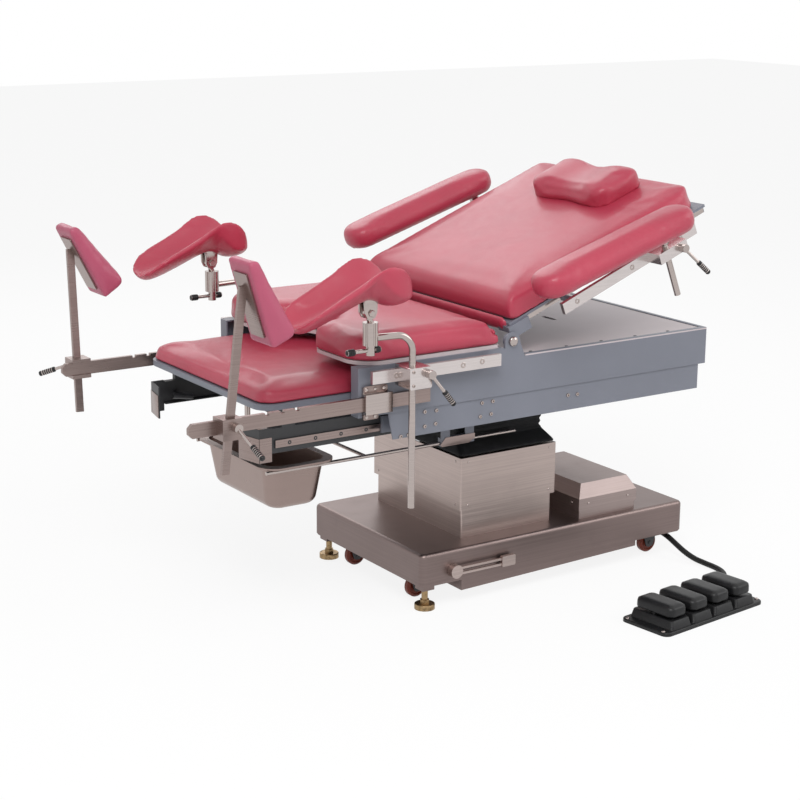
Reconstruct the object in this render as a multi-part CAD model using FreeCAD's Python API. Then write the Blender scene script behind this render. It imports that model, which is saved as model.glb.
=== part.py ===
import FreeCAD, Part
import math
import os

from FreeCAD import Matrix, Placement, Rotation, Vector

# Gynecological examination bed, in millimetres.
# X runs along the bed: +X to the head end, -X to the foot end. The near side is -Y, +Z is up.
# The model is laid out about the lift column, and moved to the centre of its own box at the end.

# Base
FLOOR_Z = 0.0
COVER_FRONT_X = -264.8
COVER_REAR_X = 479.6
COVER_HALF_WIDTH = 224.0
COVER_BOTTOM_Z = 59.4
COVER_TOP_Z = 130.1
COVER_SHEET = 2.0
COVER_EDGE_RADIUS = 9.0
COVER_CORNER_RADIUS = 14.0
CHASSIS_SHEET = 3.0
CHASSIS_INSET = 1.5
PAN_FRONT_X = -156.0
PAN_REAR_X = 341.0
PAN_HALF_WIDTH = 218.0
PAN_FRONT_Z = 30.0
PAN_REAR_Z = 42.0
CHASSIS_RAIL_Y = 185.0
CHASSIS_RAIL_WIDTH = 30.0
CHASSIS_RAIL_HEIGHT = 40.0
COLUMN_PLATE = 10.0
COLUMN_PLATE_MARGIN = 30.0

# Skirts and lift column
SKIRT_HALF_X = 131.4
SKIRT_HALF_Y = 175.1
SKIRT_BOTTOM_Z = 195.4
SKIRT_TOP_Z = 313.7
SKIRT_SHEET = 1.5
SKIRT_GAP = 2.0
SKIRT_LIP = 16.0
LOWER_SKIRT_TOP_Z = 309.0
COLUMN_HALF_X = 60.0
COLUMN_HALF_Y = 80.0
COLUMN_WALL = 9.0
COLUMN_CLEARANCE = 0.5
COLUMN_OUTER_TOP_Z = 311.0
COLUMN_OUTER_BOTTOM_Z = 44.0
COLUMN_INNER_BOTTOM_Z = 50.0
COLUMN_FIT = 0.3
HEAD_PLATE_Z = 340.0
HEAD_PLATE = 8.0
TILT_Z = 385.0
TILT_PIN_RADIUS = 10.0
RUNNING_CLEARANCE = 0.05
YOKE_Y = 84.0
YOKE_THICKNESS = 12.0
YOKE_RADIUS = 20.0
TILT_EAR_GAP = 1.0
BELLOWS_NECK_X = 118.0
BELLOWS_NECK_Y = 140.0
BELLOWS_NECK_Z = 344.0
BELLOWS_TOP_X = 126.0
BELLOWS_TOP_Y = 142.0
BELLOWS_FOLDS = 5
BELLOWS_FOLD_DEPTH = 7.0

# Control box
BOX_FRONT_X = 178.0
BOX_REAR_X = 348.0
BOX_NEAR_Y = -207.0
BOX_FAR_Y = 60.0
BOX_TRAY_HEIGHT = 21.0
BOX_BAND_HEIGHT = 27.0
BOX_TOP_Z = 209.0
BOX_HIP_INSET = 17.0

# Casters and levelling feet
WHEEL_RADIUS = 25.0
WHEEL_WIDTH = 20.0
WHEEL_AXLE_RADIUS = 4.0
FRONT_CASTER_X = -215.0
FRONT_CASTER_Y = 125.0
REAR_CASTER_X = 418.0
REAR_CASTER_Y = 168.0
FORK_CHEEK = 2.5
FORK_GAP = 1.5
FOOT_X = -240.0
FOOT_Y = 199.0
FOOT_PAD_RADIUS = 22.5
FOOT_PAD_HEIGHT = 12.0
FOOT_STEM_RADIUS = 7.0
FOOT_SOCKET_DEPTH = 12.0
FOOT_SOCKET_HALF = 15.0

# Brake lever
BRAKE_X = -183.0
BRAKE_Z = 84.0
BRAKE_TIP_X = -26.0
BRAKE_BOSS_RADIUS = 15.0
BRAKE_BOSS_DEPTH = 16.0
BRAKE_BAR_HEIGHT = 5.0
BRAKE_BAR_GAP = 7.0
BRAKE_BAR_DEPTH = 5.0
BRAKE_PLATE_LENGTH = 36.0
BRAKE_PLATE_HEIGHT = 24.0

# Foot switch
SWITCH_X = 237.0
SWITCH_Y = -531.0
SWITCH_TURN = 7.0
SWITCH_LENGTH = 320.0
SWITCH_DEPTH = 132.0
SWITCH_FLANGE = 8.0
SWITCH_CORNER = 16.0
PEDAL_COUNT = 4
PEDAL_PITCH = 70.0
PEDAL_WIDTH = 54.0
PEDAL_DEPTH = 104.0
PEDAL_BOTTOM_Z = 31.0
PEDAL_TOP_Z = 56.0
PEDAL_RADIUS = 9.0
BLOCK_WIDTH = 46.0
BLOCK_DEPTH = 86.0
BLOCK_TOP_Z = 25.0
PEDAL_RIDGE = 6.0
SEAT_GAP = 0.3

# Foot switch cable, chosen by hand from the gland under the base to the switch
CABLE_DIAMETER = 13.0
CABLE_ROUTE = [
    (458.0, -148.0, 44.0), (457.0, -176.0, 43.5), (453.0, -205.0, 41.0), (449.0, -234.0, 34.0),
    (450.0, -264.0, 22.0), (456.0, -294.0, 11.0), (463.0, -326.0, 7.0), (464.0, -360.0, 6.8), (457.0, -391.0, 6.7),
    (440.0, -415.0, 6.7), (414.0, -430.0, 7.0), (386.0, -434.0, 9.5), (362.0, -439.0, 13.0),
    (345.0, -453.0, 16.0), (337.0, -470.0, 16.2)]
GLAND_RADIUS = 11.0
GLAND_LENGTH = 20.0
BOOT_RADIUS = 8.5

# Table frame
FRAME_HALF_WIDTH = 289.4
FRAME_SHEET = 3.0
FRAME_FRONT_X = -467.7
FRAME_STEP_X = -108.1
FRAME_NOTCH_X = -76.0
FRAME_REAR_X = 465.1
FRAME_MID_Z = 477.9
FRAME_SEAT_Z = 580.1
FRAME_DECK_Z = 557.0
FRAME_BOTTOM_Z = 421.0
LOWER_FRONT_TOP_X = -394.0
LOWER_FRONT_BOTTOM_X = -382.2
LOWER_REAR_X = 447.0
FRAME_LIP = 27.0
FLOOR_PLATE_HALF_WIDTH = 210.0
CROSS_BEAM_X = (-190.0, 90.0, 380.0)
CROSS_BEAM_WIDTH = 40.0
CROSS_BEAM_BOTTOM_Z = 474.0
CROSS_BEAM_TOP_Z = 504.0
COVER_PLATE = 3.0
DECK_SLOT_X = 226.0
DECK_SLOT_Y = -17.0
DECK_SLOT_LENGTH = 46.0
DECK_SLOT_WIDTH = 12.0

# Backrest hinge and backrest, whose own axes run along it and square to it
HINGE_X = -85.0
HINGE_Z = 592.0
HINGE_CHEEK_RADIUS = 19.0
HINGE_CHEEK_REAR_X = -52.0
HINGE_PIN_RADIUS = 7.0
BACK_ANGLE = 21.5
BACK_LENGTH = 588.0
BACK_START = 15.0
BACK_HALF_WIDTH = 285.0
BACK_CUSHION_LOW = 34.0
BACK_CUSHION_THICKNESS = 59.0
BACK_CORNER_RADIUS = 70.0
BACK_EDGE_RADIUS = 25.0
BACK_LOWER_EDGE_RADIUS = 40.0
BACK_BAR_LOW = 14.0
BACK_BAR_WIDTH = 30.0
BACK_BAR_Y = 255.0
BACK_BOARD = 6.0
BACK_RAIL_START = 127.0
BACK_RAIL_END = 518.0
BACK_RAIL_LOW = 3.0
BACK_RAIL_HIGH = 28.0
BACK_STANDOFFS = (165.0, 325.0, 480.0)

# Side rails of 25 x 10 bar
RAIL_INNER_Y = FRAME_HALF_WIDTH + 18.6
RAIL_THICKNESS = 10.0
RAIL_LOW_Z = 551.0
RAIL_HIGH_Z = 576.5
RAIL_FRONT_X = -452.0
RAIL_REAR_X = -135.0
RAIL_STANDOFFS = (-420.0, -232.0, -184.0)
STANDOFF_RADIUS = 7.0

# Seat
SEAT_BOARD = 7.9
SEAT_HALF_WIDTH = 290.0
SEAT_FRONT_X = -467.0
SEAT_FULL_REAR_X = -134.0
SEAT_REAR_X = -112.0
SEAT_STEP_Z = 611.0
SEAT_TOP_Z = 643.0
SEAT_CORNER_RADIUS = 60.0
SEAT_EDGE_RADIUS = 20.0
RECESS_HALF_WIDTH = 92.0
RECESS_DEPTH = 97.0
RECESS_BOTTOM_RADIUS = 70.0
RECESS_MOUTH_RADIUS = 30.0

# Leg section
LEG_BOARD_LOW_Z = 510.0
LEG_BOARD = 12.0
LEG_HALF_WIDTH = 254.0
LEG_FRONT_X = -668.0
LEG_REAR_X = -278.0
LEG_CORNER_RADIUS = 38.0
LEG_CUSHION_THICKNESS = 38.0
LEG_EDGE_RADIUS = 16.0
CHANNEL_INNER_Y = 225.0
CHANNEL_OUTER_Y = 240.0
CHANNEL_SHEET = 2.5
CHANNEL_LOW_Z = 419.0
CHANNEL_HIGH_Z = 470.0
CHANNEL_FRONT_X = -640.0
CHANNEL_REAR_X = -240.0
STRIP_LOW_Z = 430.0
STRIP_HIGH_Z = 446.0
STRIP_THICKNESS = 3.0
END_PLATE_FRONT_X = -679.0
END_PLATE_SHEET = 3.0
LEG_CROSS_X = (-600.0, -430.0)
LEG_CROSS_WIDTH = 30.0
GUIDE_CLEARANCE = 0.8
GUIDE_THICKNESS = 6.0
GUIDE_FRONT_X = -385.0
GUIDE_REAR_X = -150.0
RELEASE_X = -611.0
RELEASE_Z = 439.0

# Basin of 1/3 gastronorm size on its sliding rods
BASIN_CENTRE_X = -520.0
BASIN_LENGTH = 176.0
BASIN_WIDTH = 325.0
BASIN_DEPTH = 100.0
BASIN_SHEET = 1.2
BASIN_RIM = 16.0
BASIN_TAPER = 14.0
BASIN_CORNER_RADIUS = 34.0
BASIN_FLOOR_RADIUS = 22.0
BASIN_LIP = 2.8
ROD_RADIUS = 4.0
ROD_Y = 152.0
ROD_Z = 350.0
ROD_FRONT_X = -603.0
ROD_REAR_X = 30.0
ROD_CROSS_X = -363.0
ROD_CLEARANCE = 0.1
ROD_GUIDE_FRONT_X = -173.0
ROD_GUIDE_REAR_X = -85.0
ROD_GUIDE_INNER_Y = 146.5
ROD_GUIDE_OUTER_Y = 158.5
ROD_GUIDE_LOW_Z = 344.0
ROD_GUIDE_HIGH_Z = 362.0

# Support bars with their brackets, posts and foot pads
BAR_INNER_Y = FRAME_HALF_WIDTH + 1.0
BAR_THICKNESS = 9.0
BAR_LOW_Z = 493.0
BAR_HEIGHT = 28.0
BAR_FRONT_X = -850.0
BAR_REAR_X = -300.0
BAR_CHAMFER = 8.0
BAR_NOTCHES = (-681.0, -647.0, -614.0)
BAR_NOTCH_WIDTH = 9.0
BAR_NOTCH_DEPTH = 5.0
BRACKET_FRONT_X = -460.0
BRACKET_REAR_X = -396.0
BRACKET_SHEET = 6.0
BRACKET_CLEARANCE = 0.6
BRACKET_FLANGE_HEIGHT = 13.0
POST_WIDTH = 16.0
POST_THICKNESS = 8.0
POST_CLEARANCE = 0.4
POST_Z = 507.0
POST_Y = FRAME_HALF_WIDTH + 22.6
POST_LEAN_X = 2.2
POST_LEAN_OUT = 8.5
POST_X = {"near": -771.0, "far": -807.0}
POST_BOTTOM_Z = {"near": 413.0, "far": 410.0}
POST_TOP_Z = {"near": 786.0, "far": 758.0}
POST_LEVER_ARM = {"near": (12.0, -70.0, -42.0), "far": (-62.0, 40.0, -24.0)}
POST_CLAMP_HALF = 21.0
POST_WELD_REACH = 1.0
POST_CLAMP_LIP = 7.0
POST_CLAMP_OUTER_Y = FRAME_HALF_WIDTH + 37.6
PAD_TOP_REACH = 88.0
PAD_HEEL_REACH = 87.0
PAD_WIDTH = 88.0
PAD_TOP_THICKNESS = 22.0
PAD_HEEL_THICKNESS = 60.0
PAD_PITCH = {"near": 16.5, "far": 27.0}
PAD_PLATE_LENGTH = 128.0
PAD_PLATE_WIDTH = 50.0
PAD_PLATE_THICKNESS = 4.0
PAD_EDGE_RADIUS = 9.0

# Knee crutches
CRUTCH_X = -374.0
CRUTCH_Y = FRAME_HALF_WIDTH + 52.6
CRUTCH_ROD_RADIUS = 7.0
CRUTCH_BOTTOM_Z = 290.0
CRUTCH_TOP_Z = 650.0
CRUTCH_BEND_RADIUS = 34.0
CRUTCH_BLOCK_X = -466.0
CRUTCH_BLOCK_RADIUS = 15.5
CRUTCH_FLUTE_RADIUS = 2.4
CRUTCH_FLUTES = 6
CRUTCH_BLOCK_LOW_Z = 636.0
CRUTCH_BLOCK_HIGH_Z = 682.0
CRUTCH_NECK_RADIUS = 6.5
SADDLE_PIVOT_X = -472.0
SADDLE_PIVOT_Z = 702.0
SADDLE_PIVOT_RADIUS = 5.0
SADDLE_EAR_RADIUS = 12.0
SADDLE_EAR_GAP = 8.0
SADDLE_EAR_THICKNESS = 5.0
SADDLE_Y = FRAME_HALF_WIDTH + 41.6
# Each station: x, floor height, rim above the floor, half width, depth below the floor, height of the flank
SADDLE_STATIONS = [
    (-646.0, 690.0, 8.0, 34.0, 8.0, 5.0), (-638.0, 688.0, 18.0, 48.0, 11.0, 6.0), (-622.0, 691.0, 30.0, 59.0, 13.0, 8.0),
    (-596.0, 699.0, 37.0, 64.0, 13.0, 8.0), (-560.0, 713.0, 40.0, 65.0, 13.0, 8.0), (-520.0, 731.0, 42.0, 65.0, 14.0, 10.0),
    (-484.0, 745.0, 50.0, 65.0, 16.0, 14.0), (-462.0, 753.0, 48.0, 65.0, 28.0, 40.0), (-442.0, 756.0, 43.0, 64.0, 42.0, 58.0),
    (-420.0, 750.0, 38.0, 61.0, 38.0, 54.0), (-404.0, 738.0, 30.0, 54.0, 24.0, 34.0), (-396.0, 730.0, 20.0, 44.0, 10.0, 14.0)]
CLAMP_FRONT_X = -391.0
CLAMP_REAR_X = -338.0
CLAMP_LOW_Z = 540.0
CLAMP_HIGH_Z = 584.0
CLAMP_OUTER_Y = FRAME_HALF_WIDTH + 70.6
CLAMP_HOOK_Y = FRAME_HALF_WIDTH + 10.6
CRUTCH_LEVER_X = -346.0
CRUTCH_LEVER_Z = 569.0
CRUTCH_LEVER_ARM = (47.0, 10.0, -62.0)
T_HUB_RADIUS = 9.0
T_HUB_HEIGHT = 20.0
T_BAR_LENGTH = 66.0
T_BAR_RADIUS = 4.0
T_CAP_RADIUS = 6.0

# Armrests, placed along and square to the backrest
ARM_ALONG = 403.0
ARM_ROD_Y = FRAME_HALF_WIDTH + 55.6
ARM_ROD_RADIUS = 7.0
ARM_ROD_LOW = -86.0
ARM_PAD_START = 44.0
ARM_PAD_END = 471.0
ARM_PAD_SHIFT_START = 114.0
ARM_PAD_SHIFT_END = 84.0
ARM_PAD_Y = FRAME_HALF_WIDTH + 76.6
ARM_PAD_WIDTH = 96.0
ARM_PAD_THICKNESS = 55.0
ARM_PAD_EDGE_RADIUS = 19.0
ARM_PLATE = 4.0
ARM_CLAMP_START = 371.0
ARM_CLAMP_END = 452.0
ARM_CLAMP_LOW = 5.0
ARM_CLAMP_HIGH = 29.0
ARM_CLAMP_OUTER_Y = FRAME_HALF_WIDTH + 70.6
ARM_LEVER_ALONG = 435.0
ARM_LEVER_SHIFT = 15.0
ARM_LEVER_REACH = (33.0, 15.0, -70.0)

# Pillow
PILLOW_ALONG = 470.0
PILLOW_Y = -30.0
PILLOW_WIDTH = 262.0
PILLOW_LENGTH = 140.0
PILLOW_THICKNESS = 50.0
PILLOW_REST_GAP = 0.3

# Tommy-bar clamp levers
LEVER_BOSS_RADIUS = 9.0
LEVER_BOSS_LENGTH = 14.0
LEVER_ARM_RADIUS = 3.5
LEVER_GRIP_RADIUS = 5.5
LEVER_GRIP_LENGTH = 30.0
LEVER_GAP = 0.3

SIDES = {"near": -1.0, "far": 1.0}
BACK_DIRECTION = Vector(math.cos(math.radians(BACK_ANGLE)), 0, math.sin(math.radians(BACK_ANGLE)))
BACK_NORMAL = Vector(-math.sin(math.radians(BACK_ANGLE)), 0, math.cos(math.radians(BACK_ANGLE)))
X_AXIS = Vector(1, 0, 0)
Y_AXIS = Vector(0, 1, 0)
Z_AXIS = Vector(0, 0, 1)

nodes = {}


def block(x0, x1, y0, y1, z0, z1):
    """A box between two corners, given in any order."""
    low = Vector(min(x0, x1), min(y0, y1), min(z0, z1))
    return Part.makeBox(abs(x1 - x0), abs(y1 - y0), abs(z1 - z0), low)


def rod(start, end, radius):
    """A round rod between two points."""
    direction = Vector(end) - Vector(start)
    return Part.makeCylinder(radius, direction.Length, Vector(start), direction)


def ball(centre, radius):
    """A ball about a point."""
    return Part.makeSphere(radius, Vector(centre))


def fuse(pieces):
    """One solid out of pieces that touch or overlap."""
    joined = pieces[0].multiFuse(pieces[1:]) if len(pieces) > 1 else pieces[0]
    return joined.removeSplitter()


def cut(shape, tools):
    """The shape with each tool taken away."""
    return shape.cut(tools) if tools else shape


def mirrored(shape):
    """The shape's twin on the other side of the bed."""
    return shape.mirror(Vector(0, 0, 0), Y_AXIS)


def both_sides(shape):
    """A shape and its twin, as a list."""
    return [shape, mirrored(shape)]


def profile_wire(points, corner_radii):
    """A closed outline of straight runs whose corners are arcs of the given radii."""
    count = len(points)
    if not isinstance(corner_radii, (list, tuple)):
        corner_radii = [corner_radii] * count
    corners = []
    for i in range(count):
        here = points[i]
        to_last = (points[i - 1] - here).normalize()
        to_next = (points[(i + 1) % count] - here).normalize()
        radius = corner_radii[i]
        half = to_last.getAngle(to_next) / 2
        if radius <= 0 or abs(half - math.pi / 2) < 1e-6:
            corners.append((here, None, here))
            continue
        reach = radius / math.tan(half)
        inward = (to_last + to_next).normalize()
        middle = here + inward * (radius / math.sin(half) - radius)
        corners.append((here + to_last * reach, middle, here + to_next * reach))
    edges = []
    for i in range(count):
        first, middle, last = corners[i]
        if middle is not None:
            edges.append(Part.Arc(first, middle, last).toShape())
        following = corners[(i + 1) % count][0]
        if last.distanceToPoint(following) > 1e-6:
            edges.append(Part.LineSegment(last, following).toShape())
    return Part.Wire(edges)


def prism(points, direction, corner_radii=0.0):
    """A flat outline pushed along a direction."""
    outline = [Vector(p) for p in points]
    return Part.Face(profile_wire(outline, corner_radii)).extrude(Vector(direction))


def side_prism(points, y0, y1, corner_radii=0.0):
    """An outline of (x, z) points pushed from y0 to y1."""
    return prism([(x, y0, z) for x, z in points], (0, y1 - y0, 0), corner_radii)


def plan_prism(points, z0, z1, corner_radii=0.0):
    """An outline of (x, y) points pushed from z0 to z1."""
    return prism([(x, y, z0) for x, y in points], (0, 0, z1 - z0), corner_radii)


def rectangle(x0, x1, y0, y1):
    """The four corners of a rectangle in plan."""
    return [(x0, y0), (x1, y0), (x1, y1), (x0, y1)]


def round_edges(shape, radius, wanted):
    """The shape with the edges that pass a test rounded."""
    edges = [edge for edge in shape.Edges if wanted(edge)]
    return shape.makeFillet(radius, edges) if edges else shape


def flat_at(edge, z, slack=0.01):
    """Whether an edge lies wholly at one height."""
    box = edge.BoundBox
    return abs(box.ZMin - z) < slack and abs(box.ZMax - z) < slack


def bent_rod(points, radii, radius):
    """A round rod along straight runs joined by tangent arcs, and its length."""
    route = [Vector(p) for p in points]
    edges = []
    at = route[0]
    for i in range(1, len(route) - 1):
        back = (route[i - 1] - route[i]).normalize()
        ahead = (route[i + 1] - route[i]).normalize()
        half = back.getAngle(ahead) / 2
        reach = radii[i - 1] / math.tan(half)
        middle = route[i] + (back + ahead).normalize() * (radii[i - 1] / math.sin(half) - radii[i - 1])
        edges.append(Part.LineSegment(at, route[i] + back * reach).toShape())
        edges.append(Part.Arc(route[i] + back * reach, middle, route[i] + ahead * reach).toShape())
        at = route[i] + ahead * reach
    edges.append(Part.LineSegment(at, route[-1]).toShape())
    path = Part.Wire(edges)
    section = Part.Wire(Part.makeCircle(radius, route[0], (route[1] - route[0]).normalize()))
    return path.makePipeShell([section], True, True), path.Length


def back_point(along, shift, y=0.0):
    """A point given along the backrest, square to it and across it."""
    return Vector(HINGE_X, y, HINGE_Z) + BACK_DIRECTION * along + BACK_NORMAL * shift


def back_block(along0, along1, y0, y1, shift0, shift1):
    """A box whose sides follow the backrest."""
    points = [back_point(along0, shift0, y0), back_point(along1, shift0, y0),
              back_point(along1, shift1, y0), back_point(along0, shift1, y0)]
    return prism(points, (0, y1 - y0, 0))


def laid_on_back(shape):
    """A shape built flat, with X along the backrest and Z square to it, turned to the backrest."""
    turn = Rotation(Y_AXIS, -BACK_ANGLE)
    shape.Placement = Placement(Vector(HINGE_X, 0, HINGE_Z), turn).multiply(shape.Placement)
    return shape


def clamp_lever(pivot, screw_axis, arm):
    """A clamp screw's boss with its bar and grip, one solid."""
    pivot = Vector(pivot)
    axis = Vector(screw_axis).normalize()
    start = pivot + axis * LEVER_GAP
    end = start + axis * LEVER_BOSS_LENGTH
    centre = pivot + axis * (LEVER_GAP + LEVER_BOSS_LENGTH / 2)
    tip = centre + Vector(arm)
    reach = Vector(arm)
    grip_start = tip - reach.normalize() * LEVER_GRIP_LENGTH
    boss = rod(start, end, LEVER_BOSS_RADIUS)
    bar = rod(centre, tip, LEVER_ARM_RADIUS)
    grip = rod(grip_start, tip, LEVER_GRIP_RADIUS)
    return fuse([boss, bar, grip, ball(tip, LEVER_GRIP_RADIUS)])


def base_cover():
    outline = rectangle(COVER_FRONT_X, COVER_REAR_X, -COVER_HALF_WIDTH, COVER_HALF_WIDTH)
    outer = plan_prism(outline, COVER_BOTTOM_Z, COVER_TOP_Z, COVER_CORNER_RADIUS)
    outer = round_edges(outer, COVER_EDGE_RADIUS, lambda edge: flat_at(edge, COVER_TOP_Z))
    inner = plan_prism(
        rectangle(COVER_FRONT_X + COVER_SHEET, COVER_REAR_X - COVER_SHEET,
                  -COVER_HALF_WIDTH + COVER_SHEET, COVER_HALF_WIDTH - COVER_SHEET),
        COVER_BOTTOM_Z, COVER_TOP_Z - COVER_SHEET, COVER_CORNER_RADIUS - COVER_SHEET)
    inner = round_edges(inner, COVER_EDGE_RADIUS - COVER_SHEET,
                        lambda edge: flat_at(edge, COVER_TOP_Z - COVER_SHEET))
    hole_x = COLUMN_HALF_X + COLUMN_PLATE_MARGIN / 2
    hole_y = COLUMN_HALF_Y + COLUMN_PLATE_MARGIN / 2
    hole = block(-hole_x, hole_x, -hole_y, hole_y, COVER_BOTTOM_Z, COVER_TOP_Z)
    return cut(outer, [inner, hole])


def base_chassis():
    """Floor sheet, dropped pan, two rails, cross members and the column's plate, welded into one."""
    floor_top = COVER_BOTTOM_Z
    floor_low = floor_top - CHASSIS_SHEET
    x0 = COVER_FRONT_X + CHASSIS_INSET
    x1 = COVER_REAR_X - CHASSIS_INSET
    half = COVER_HALF_WIDTH - CHASSIS_INSET
    floor = plan_prism(rectangle(x0, x1, -half, half), floor_low, floor_top, COVER_CORNER_RADIUS)
    pan_profile = [(PAN_FRONT_X, floor_top), (PAN_FRONT_X, PAN_FRONT_Z),
                   (PAN_REAR_X, PAN_REAR_Z), (PAN_REAR_X, floor_top)]
    pan = side_prism(pan_profile, -PAN_HALF_WIDTH, PAN_HALF_WIDTH)
    t = CHASSIS_SHEET
    hollow_profile = [(PAN_FRONT_X + t, floor_top), (PAN_FRONT_X + t, PAN_FRONT_Z + t),
                      (PAN_REAR_X - t, PAN_REAR_Z + t), (PAN_REAR_X - t, floor_top)]
    hollow = side_prism(hollow_profile, -PAN_HALF_WIDTH + t, PAN_HALF_WIDTH - t)
    pieces = [cut(fuse([floor, pan]), [hollow])]
    rail_top = floor_top + CHASSIS_RAIL_HEIGHT
    for side in SIDES.values():
        y0 = side * CHASSIS_RAIL_Y - CHASSIS_RAIL_WIDTH / 2
        y1 = side * CHASSIS_RAIL_Y + CHASSIS_RAIL_WIDTH / 2
        tube = block(x0 + t, x1 - t, y0, y1, floor_top - t / 2, rail_top)
        bore = block(x0 + t, x1 - t, y0 + t, y1 - t, floor_top + t, rail_top - t)
        pieces.append(cut(tube, [bore]))
        socket_low = COVER_BOTTOM_Z - CHASSIS_SHEET - FOOT_SOCKET_DEPTH
        socket = block(FOOT_X - FOOT_SOCKET_HALF, FOOT_X + FOOT_SOCKET_HALF,
                       side * FOOT_Y - FOOT_SOCKET_HALF, side * FOOT_Y + FOOT_SOCKET_HALF,
                       socket_low, floor_low + t / 2)
        pieces.append(socket)
    reach = CHASSIS_RAIL_Y
    plate_x = COLUMN_HALF_X + COLUMN_PLATE_MARGIN / 2
    cross_start = COLUMN_HALF_X + 2
    for x in (-cross_start - CHASSIS_RAIL_WIDTH, cross_start):
        pieces.append(block(x, x + CHASSIS_RAIL_WIDTH, -reach, reach, floor_top, rail_top))
    pieces.append(block(-COLUMN_HALF_X, COLUMN_HALF_X, -COLUMN_HALF_Y, COLUMN_HALF_Y,
                        PAN_FRONT_Z + 2 * CHASSIS_SHEET, COLUMN_OUTER_BOTTOM_Z - COLUMN_FIT))
    plate_y = COLUMN_HALF_Y + COLUMN_PLATE_MARGIN / 2
    pieces.append(block(-plate_x, plate_x, -plate_y, plate_y, rail_top, rail_top + COLUMN_PLATE))
    gland_y = CABLE_ROUTE[0][1]
    gland_block = block(CABLE_ROUTE[0][0] - GLAND_RADIUS, CABLE_ROUTE[0][0] + GLAND_RADIUS,
                        gland_y + GLAND_LENGTH, gland_y + 2 * GLAND_LENGTH,
                        CABLE_ROUTE[0][2] - GLAND_RADIUS, floor_low + t / 2)
    gland_start = Vector(CABLE_ROUTE[0])
    toward = (Vector(CABLE_ROUTE[0]) - Vector(CABLE_ROUTE[1])).normalize()
    pieces.append(rod(gland_start, gland_start + toward * (GLAND_LENGTH + t), GLAND_RADIUS))
    pieces.append(gland_block)
    chassis = fuse(pieces)
    bores = []
    for side in SIDES.values():
        bore_low = COVER_BOTTOM_Z - CHASSIS_SHEET - FOOT_SOCKET_DEPTH
        bores.append(Part.makeCylinder(FOOT_STEM_RADIUS + RUNNING_CLEARANCE, FOOT_SOCKET_DEPTH + t + 1,
                                       Vector(FOOT_X, side * FOOT_Y, bore_low)))
    hole_x = COLUMN_HALF_X + COLUMN_FIT
    hole_y = COLUMN_HALF_Y + COLUMN_FIT
    bores.append(block(-hole_x, hole_x, -hole_y, hole_y, COLUMN_OUTER_BOTTOM_Z, rail_top + 2 * COLUMN_PLATE))
    return cut(chassis, bores)


def skirt(half_x, half_y, bottom, top, lip=0.0):
    """A folded rectangular sleeve, open below, with an inward lip on top where one is asked for."""
    t = SKIRT_SHEET
    outer = plan_prism(rectangle(-half_x, half_x, -half_y, half_y), bottom, top, 3.0)
    inner = plan_prism(rectangle(-half_x + t, half_x - t, -half_y + t, half_y - t),
                       bottom, top - t if lip else top, 3.0 - t)
    mouth = block(-half_x + t + lip, half_x - t - lip, -half_y + t + lip, half_y - t - lip, bottom, top)
    return cut(outer, [inner, mouth] if lip else [inner])


def lower_skirt():
    inset = 2 * (SKIRT_SHEET + SKIRT_GAP)
    return skirt(SKIRT_HALF_X - inset, SKIRT_HALF_Y - inset, COVER_TOP_Z, LOWER_SKIRT_TOP_Z)


def middle_skirt():
    inset = SKIRT_SHEET + SKIRT_GAP
    return skirt(SKIRT_HALF_X - inset, SKIRT_HALF_Y - inset, SKIRT_BOTTOM_Z + SKIRT_GAP,
                 SKIRT_TOP_Z - SKIRT_SHEET - SEAT_GAP)


def column_outer():
    bottom = COLUMN_OUTER_BOTTOM_Z
    outer = plan_prism(rectangle(-COLUMN_HALF_X, COLUMN_HALF_X, -COLUMN_HALF_Y, COLUMN_HALF_Y),
                       bottom, COLUMN_OUTER_TOP_Z, 8.0)
    bore_x = COLUMN_HALF_X - COLUMN_WALL
    bore_y = COLUMN_HALF_Y - COLUMN_WALL
    return cut(outer, [block(-bore_x, bore_x, -bore_y, bore_y, bottom, COLUMN_OUTER_TOP_Z)])


def column_inner():
    """Inner lift tube, its head plate that carries the upper skirt, and the yoke with the tilt pin."""
    half_x = COLUMN_HALF_X - COLUMN_WALL - COLUMN_CLEARANCE
    half_y = COLUMN_HALF_Y - COLUMN_WALL - COLUMN_CLEARANCE
    tube = block(-half_x, half_x, -half_y, half_y, COLUMN_INNER_BOTTOM_Z, HEAD_PLATE_Z)
    plate_y = YOKE_Y + YOKE_THICKNESS + 4
    head = block(-COLUMN_HALF_X, COLUMN_HALF_X, -plate_y, plate_y, HEAD_PLATE_Z, HEAD_PLATE_Z + HEAD_PLATE)
    pieces = [tube, head]
    foot = HEAD_PLATE_Z + HEAD_PLATE / 2
    for side in SIDES.values():
        y0 = side * YOKE_Y
        y1 = side * (YOKE_Y + YOKE_THICKNESS)
        ear = side_prism([(-45, foot), (45, foot), (YOKE_RADIUS, TILT_Z), (-YOKE_RADIUS, TILT_Z)], y0, y1)
        pieces.append(ear)
        pieces.append(rod((0, y0, TILT_Z), (0, y1, TILT_Z), YOKE_RADIUS))
    pin_reach = YOKE_Y + 2 * YOKE_THICKNESS + TILT_EAR_GAP + 8
    pieces.append(rod((0, -pin_reach, TILT_Z), (0, pin_reach, TILT_Z), TILT_PIN_RADIUS))
    arm_half = 12.0
    skirt_inner = SKIRT_HALF_X - SKIRT_SHEET
    for side in SIDES.values():
        arm_x = side * skirt_inner
        reach = side * (skirt_inner - 2 * SKIRT_LIP)
        drop = block(reach, reach + side * 8, -arm_half, arm_half, SKIRT_TOP_Z, HEAD_PLATE_Z + HEAD_PLATE)
        flat = block(0, reach + side * 8, -arm_half, arm_half, HEAD_PLATE_Z, HEAD_PLATE_Z + HEAD_PLATE)
        shoe = block(reach, arm_x, -arm_half, arm_half, SKIRT_TOP_Z, SKIRT_TOP_Z + 3)
        pieces.extend([drop, flat, shoe])
    return fuse(pieces)


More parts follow.
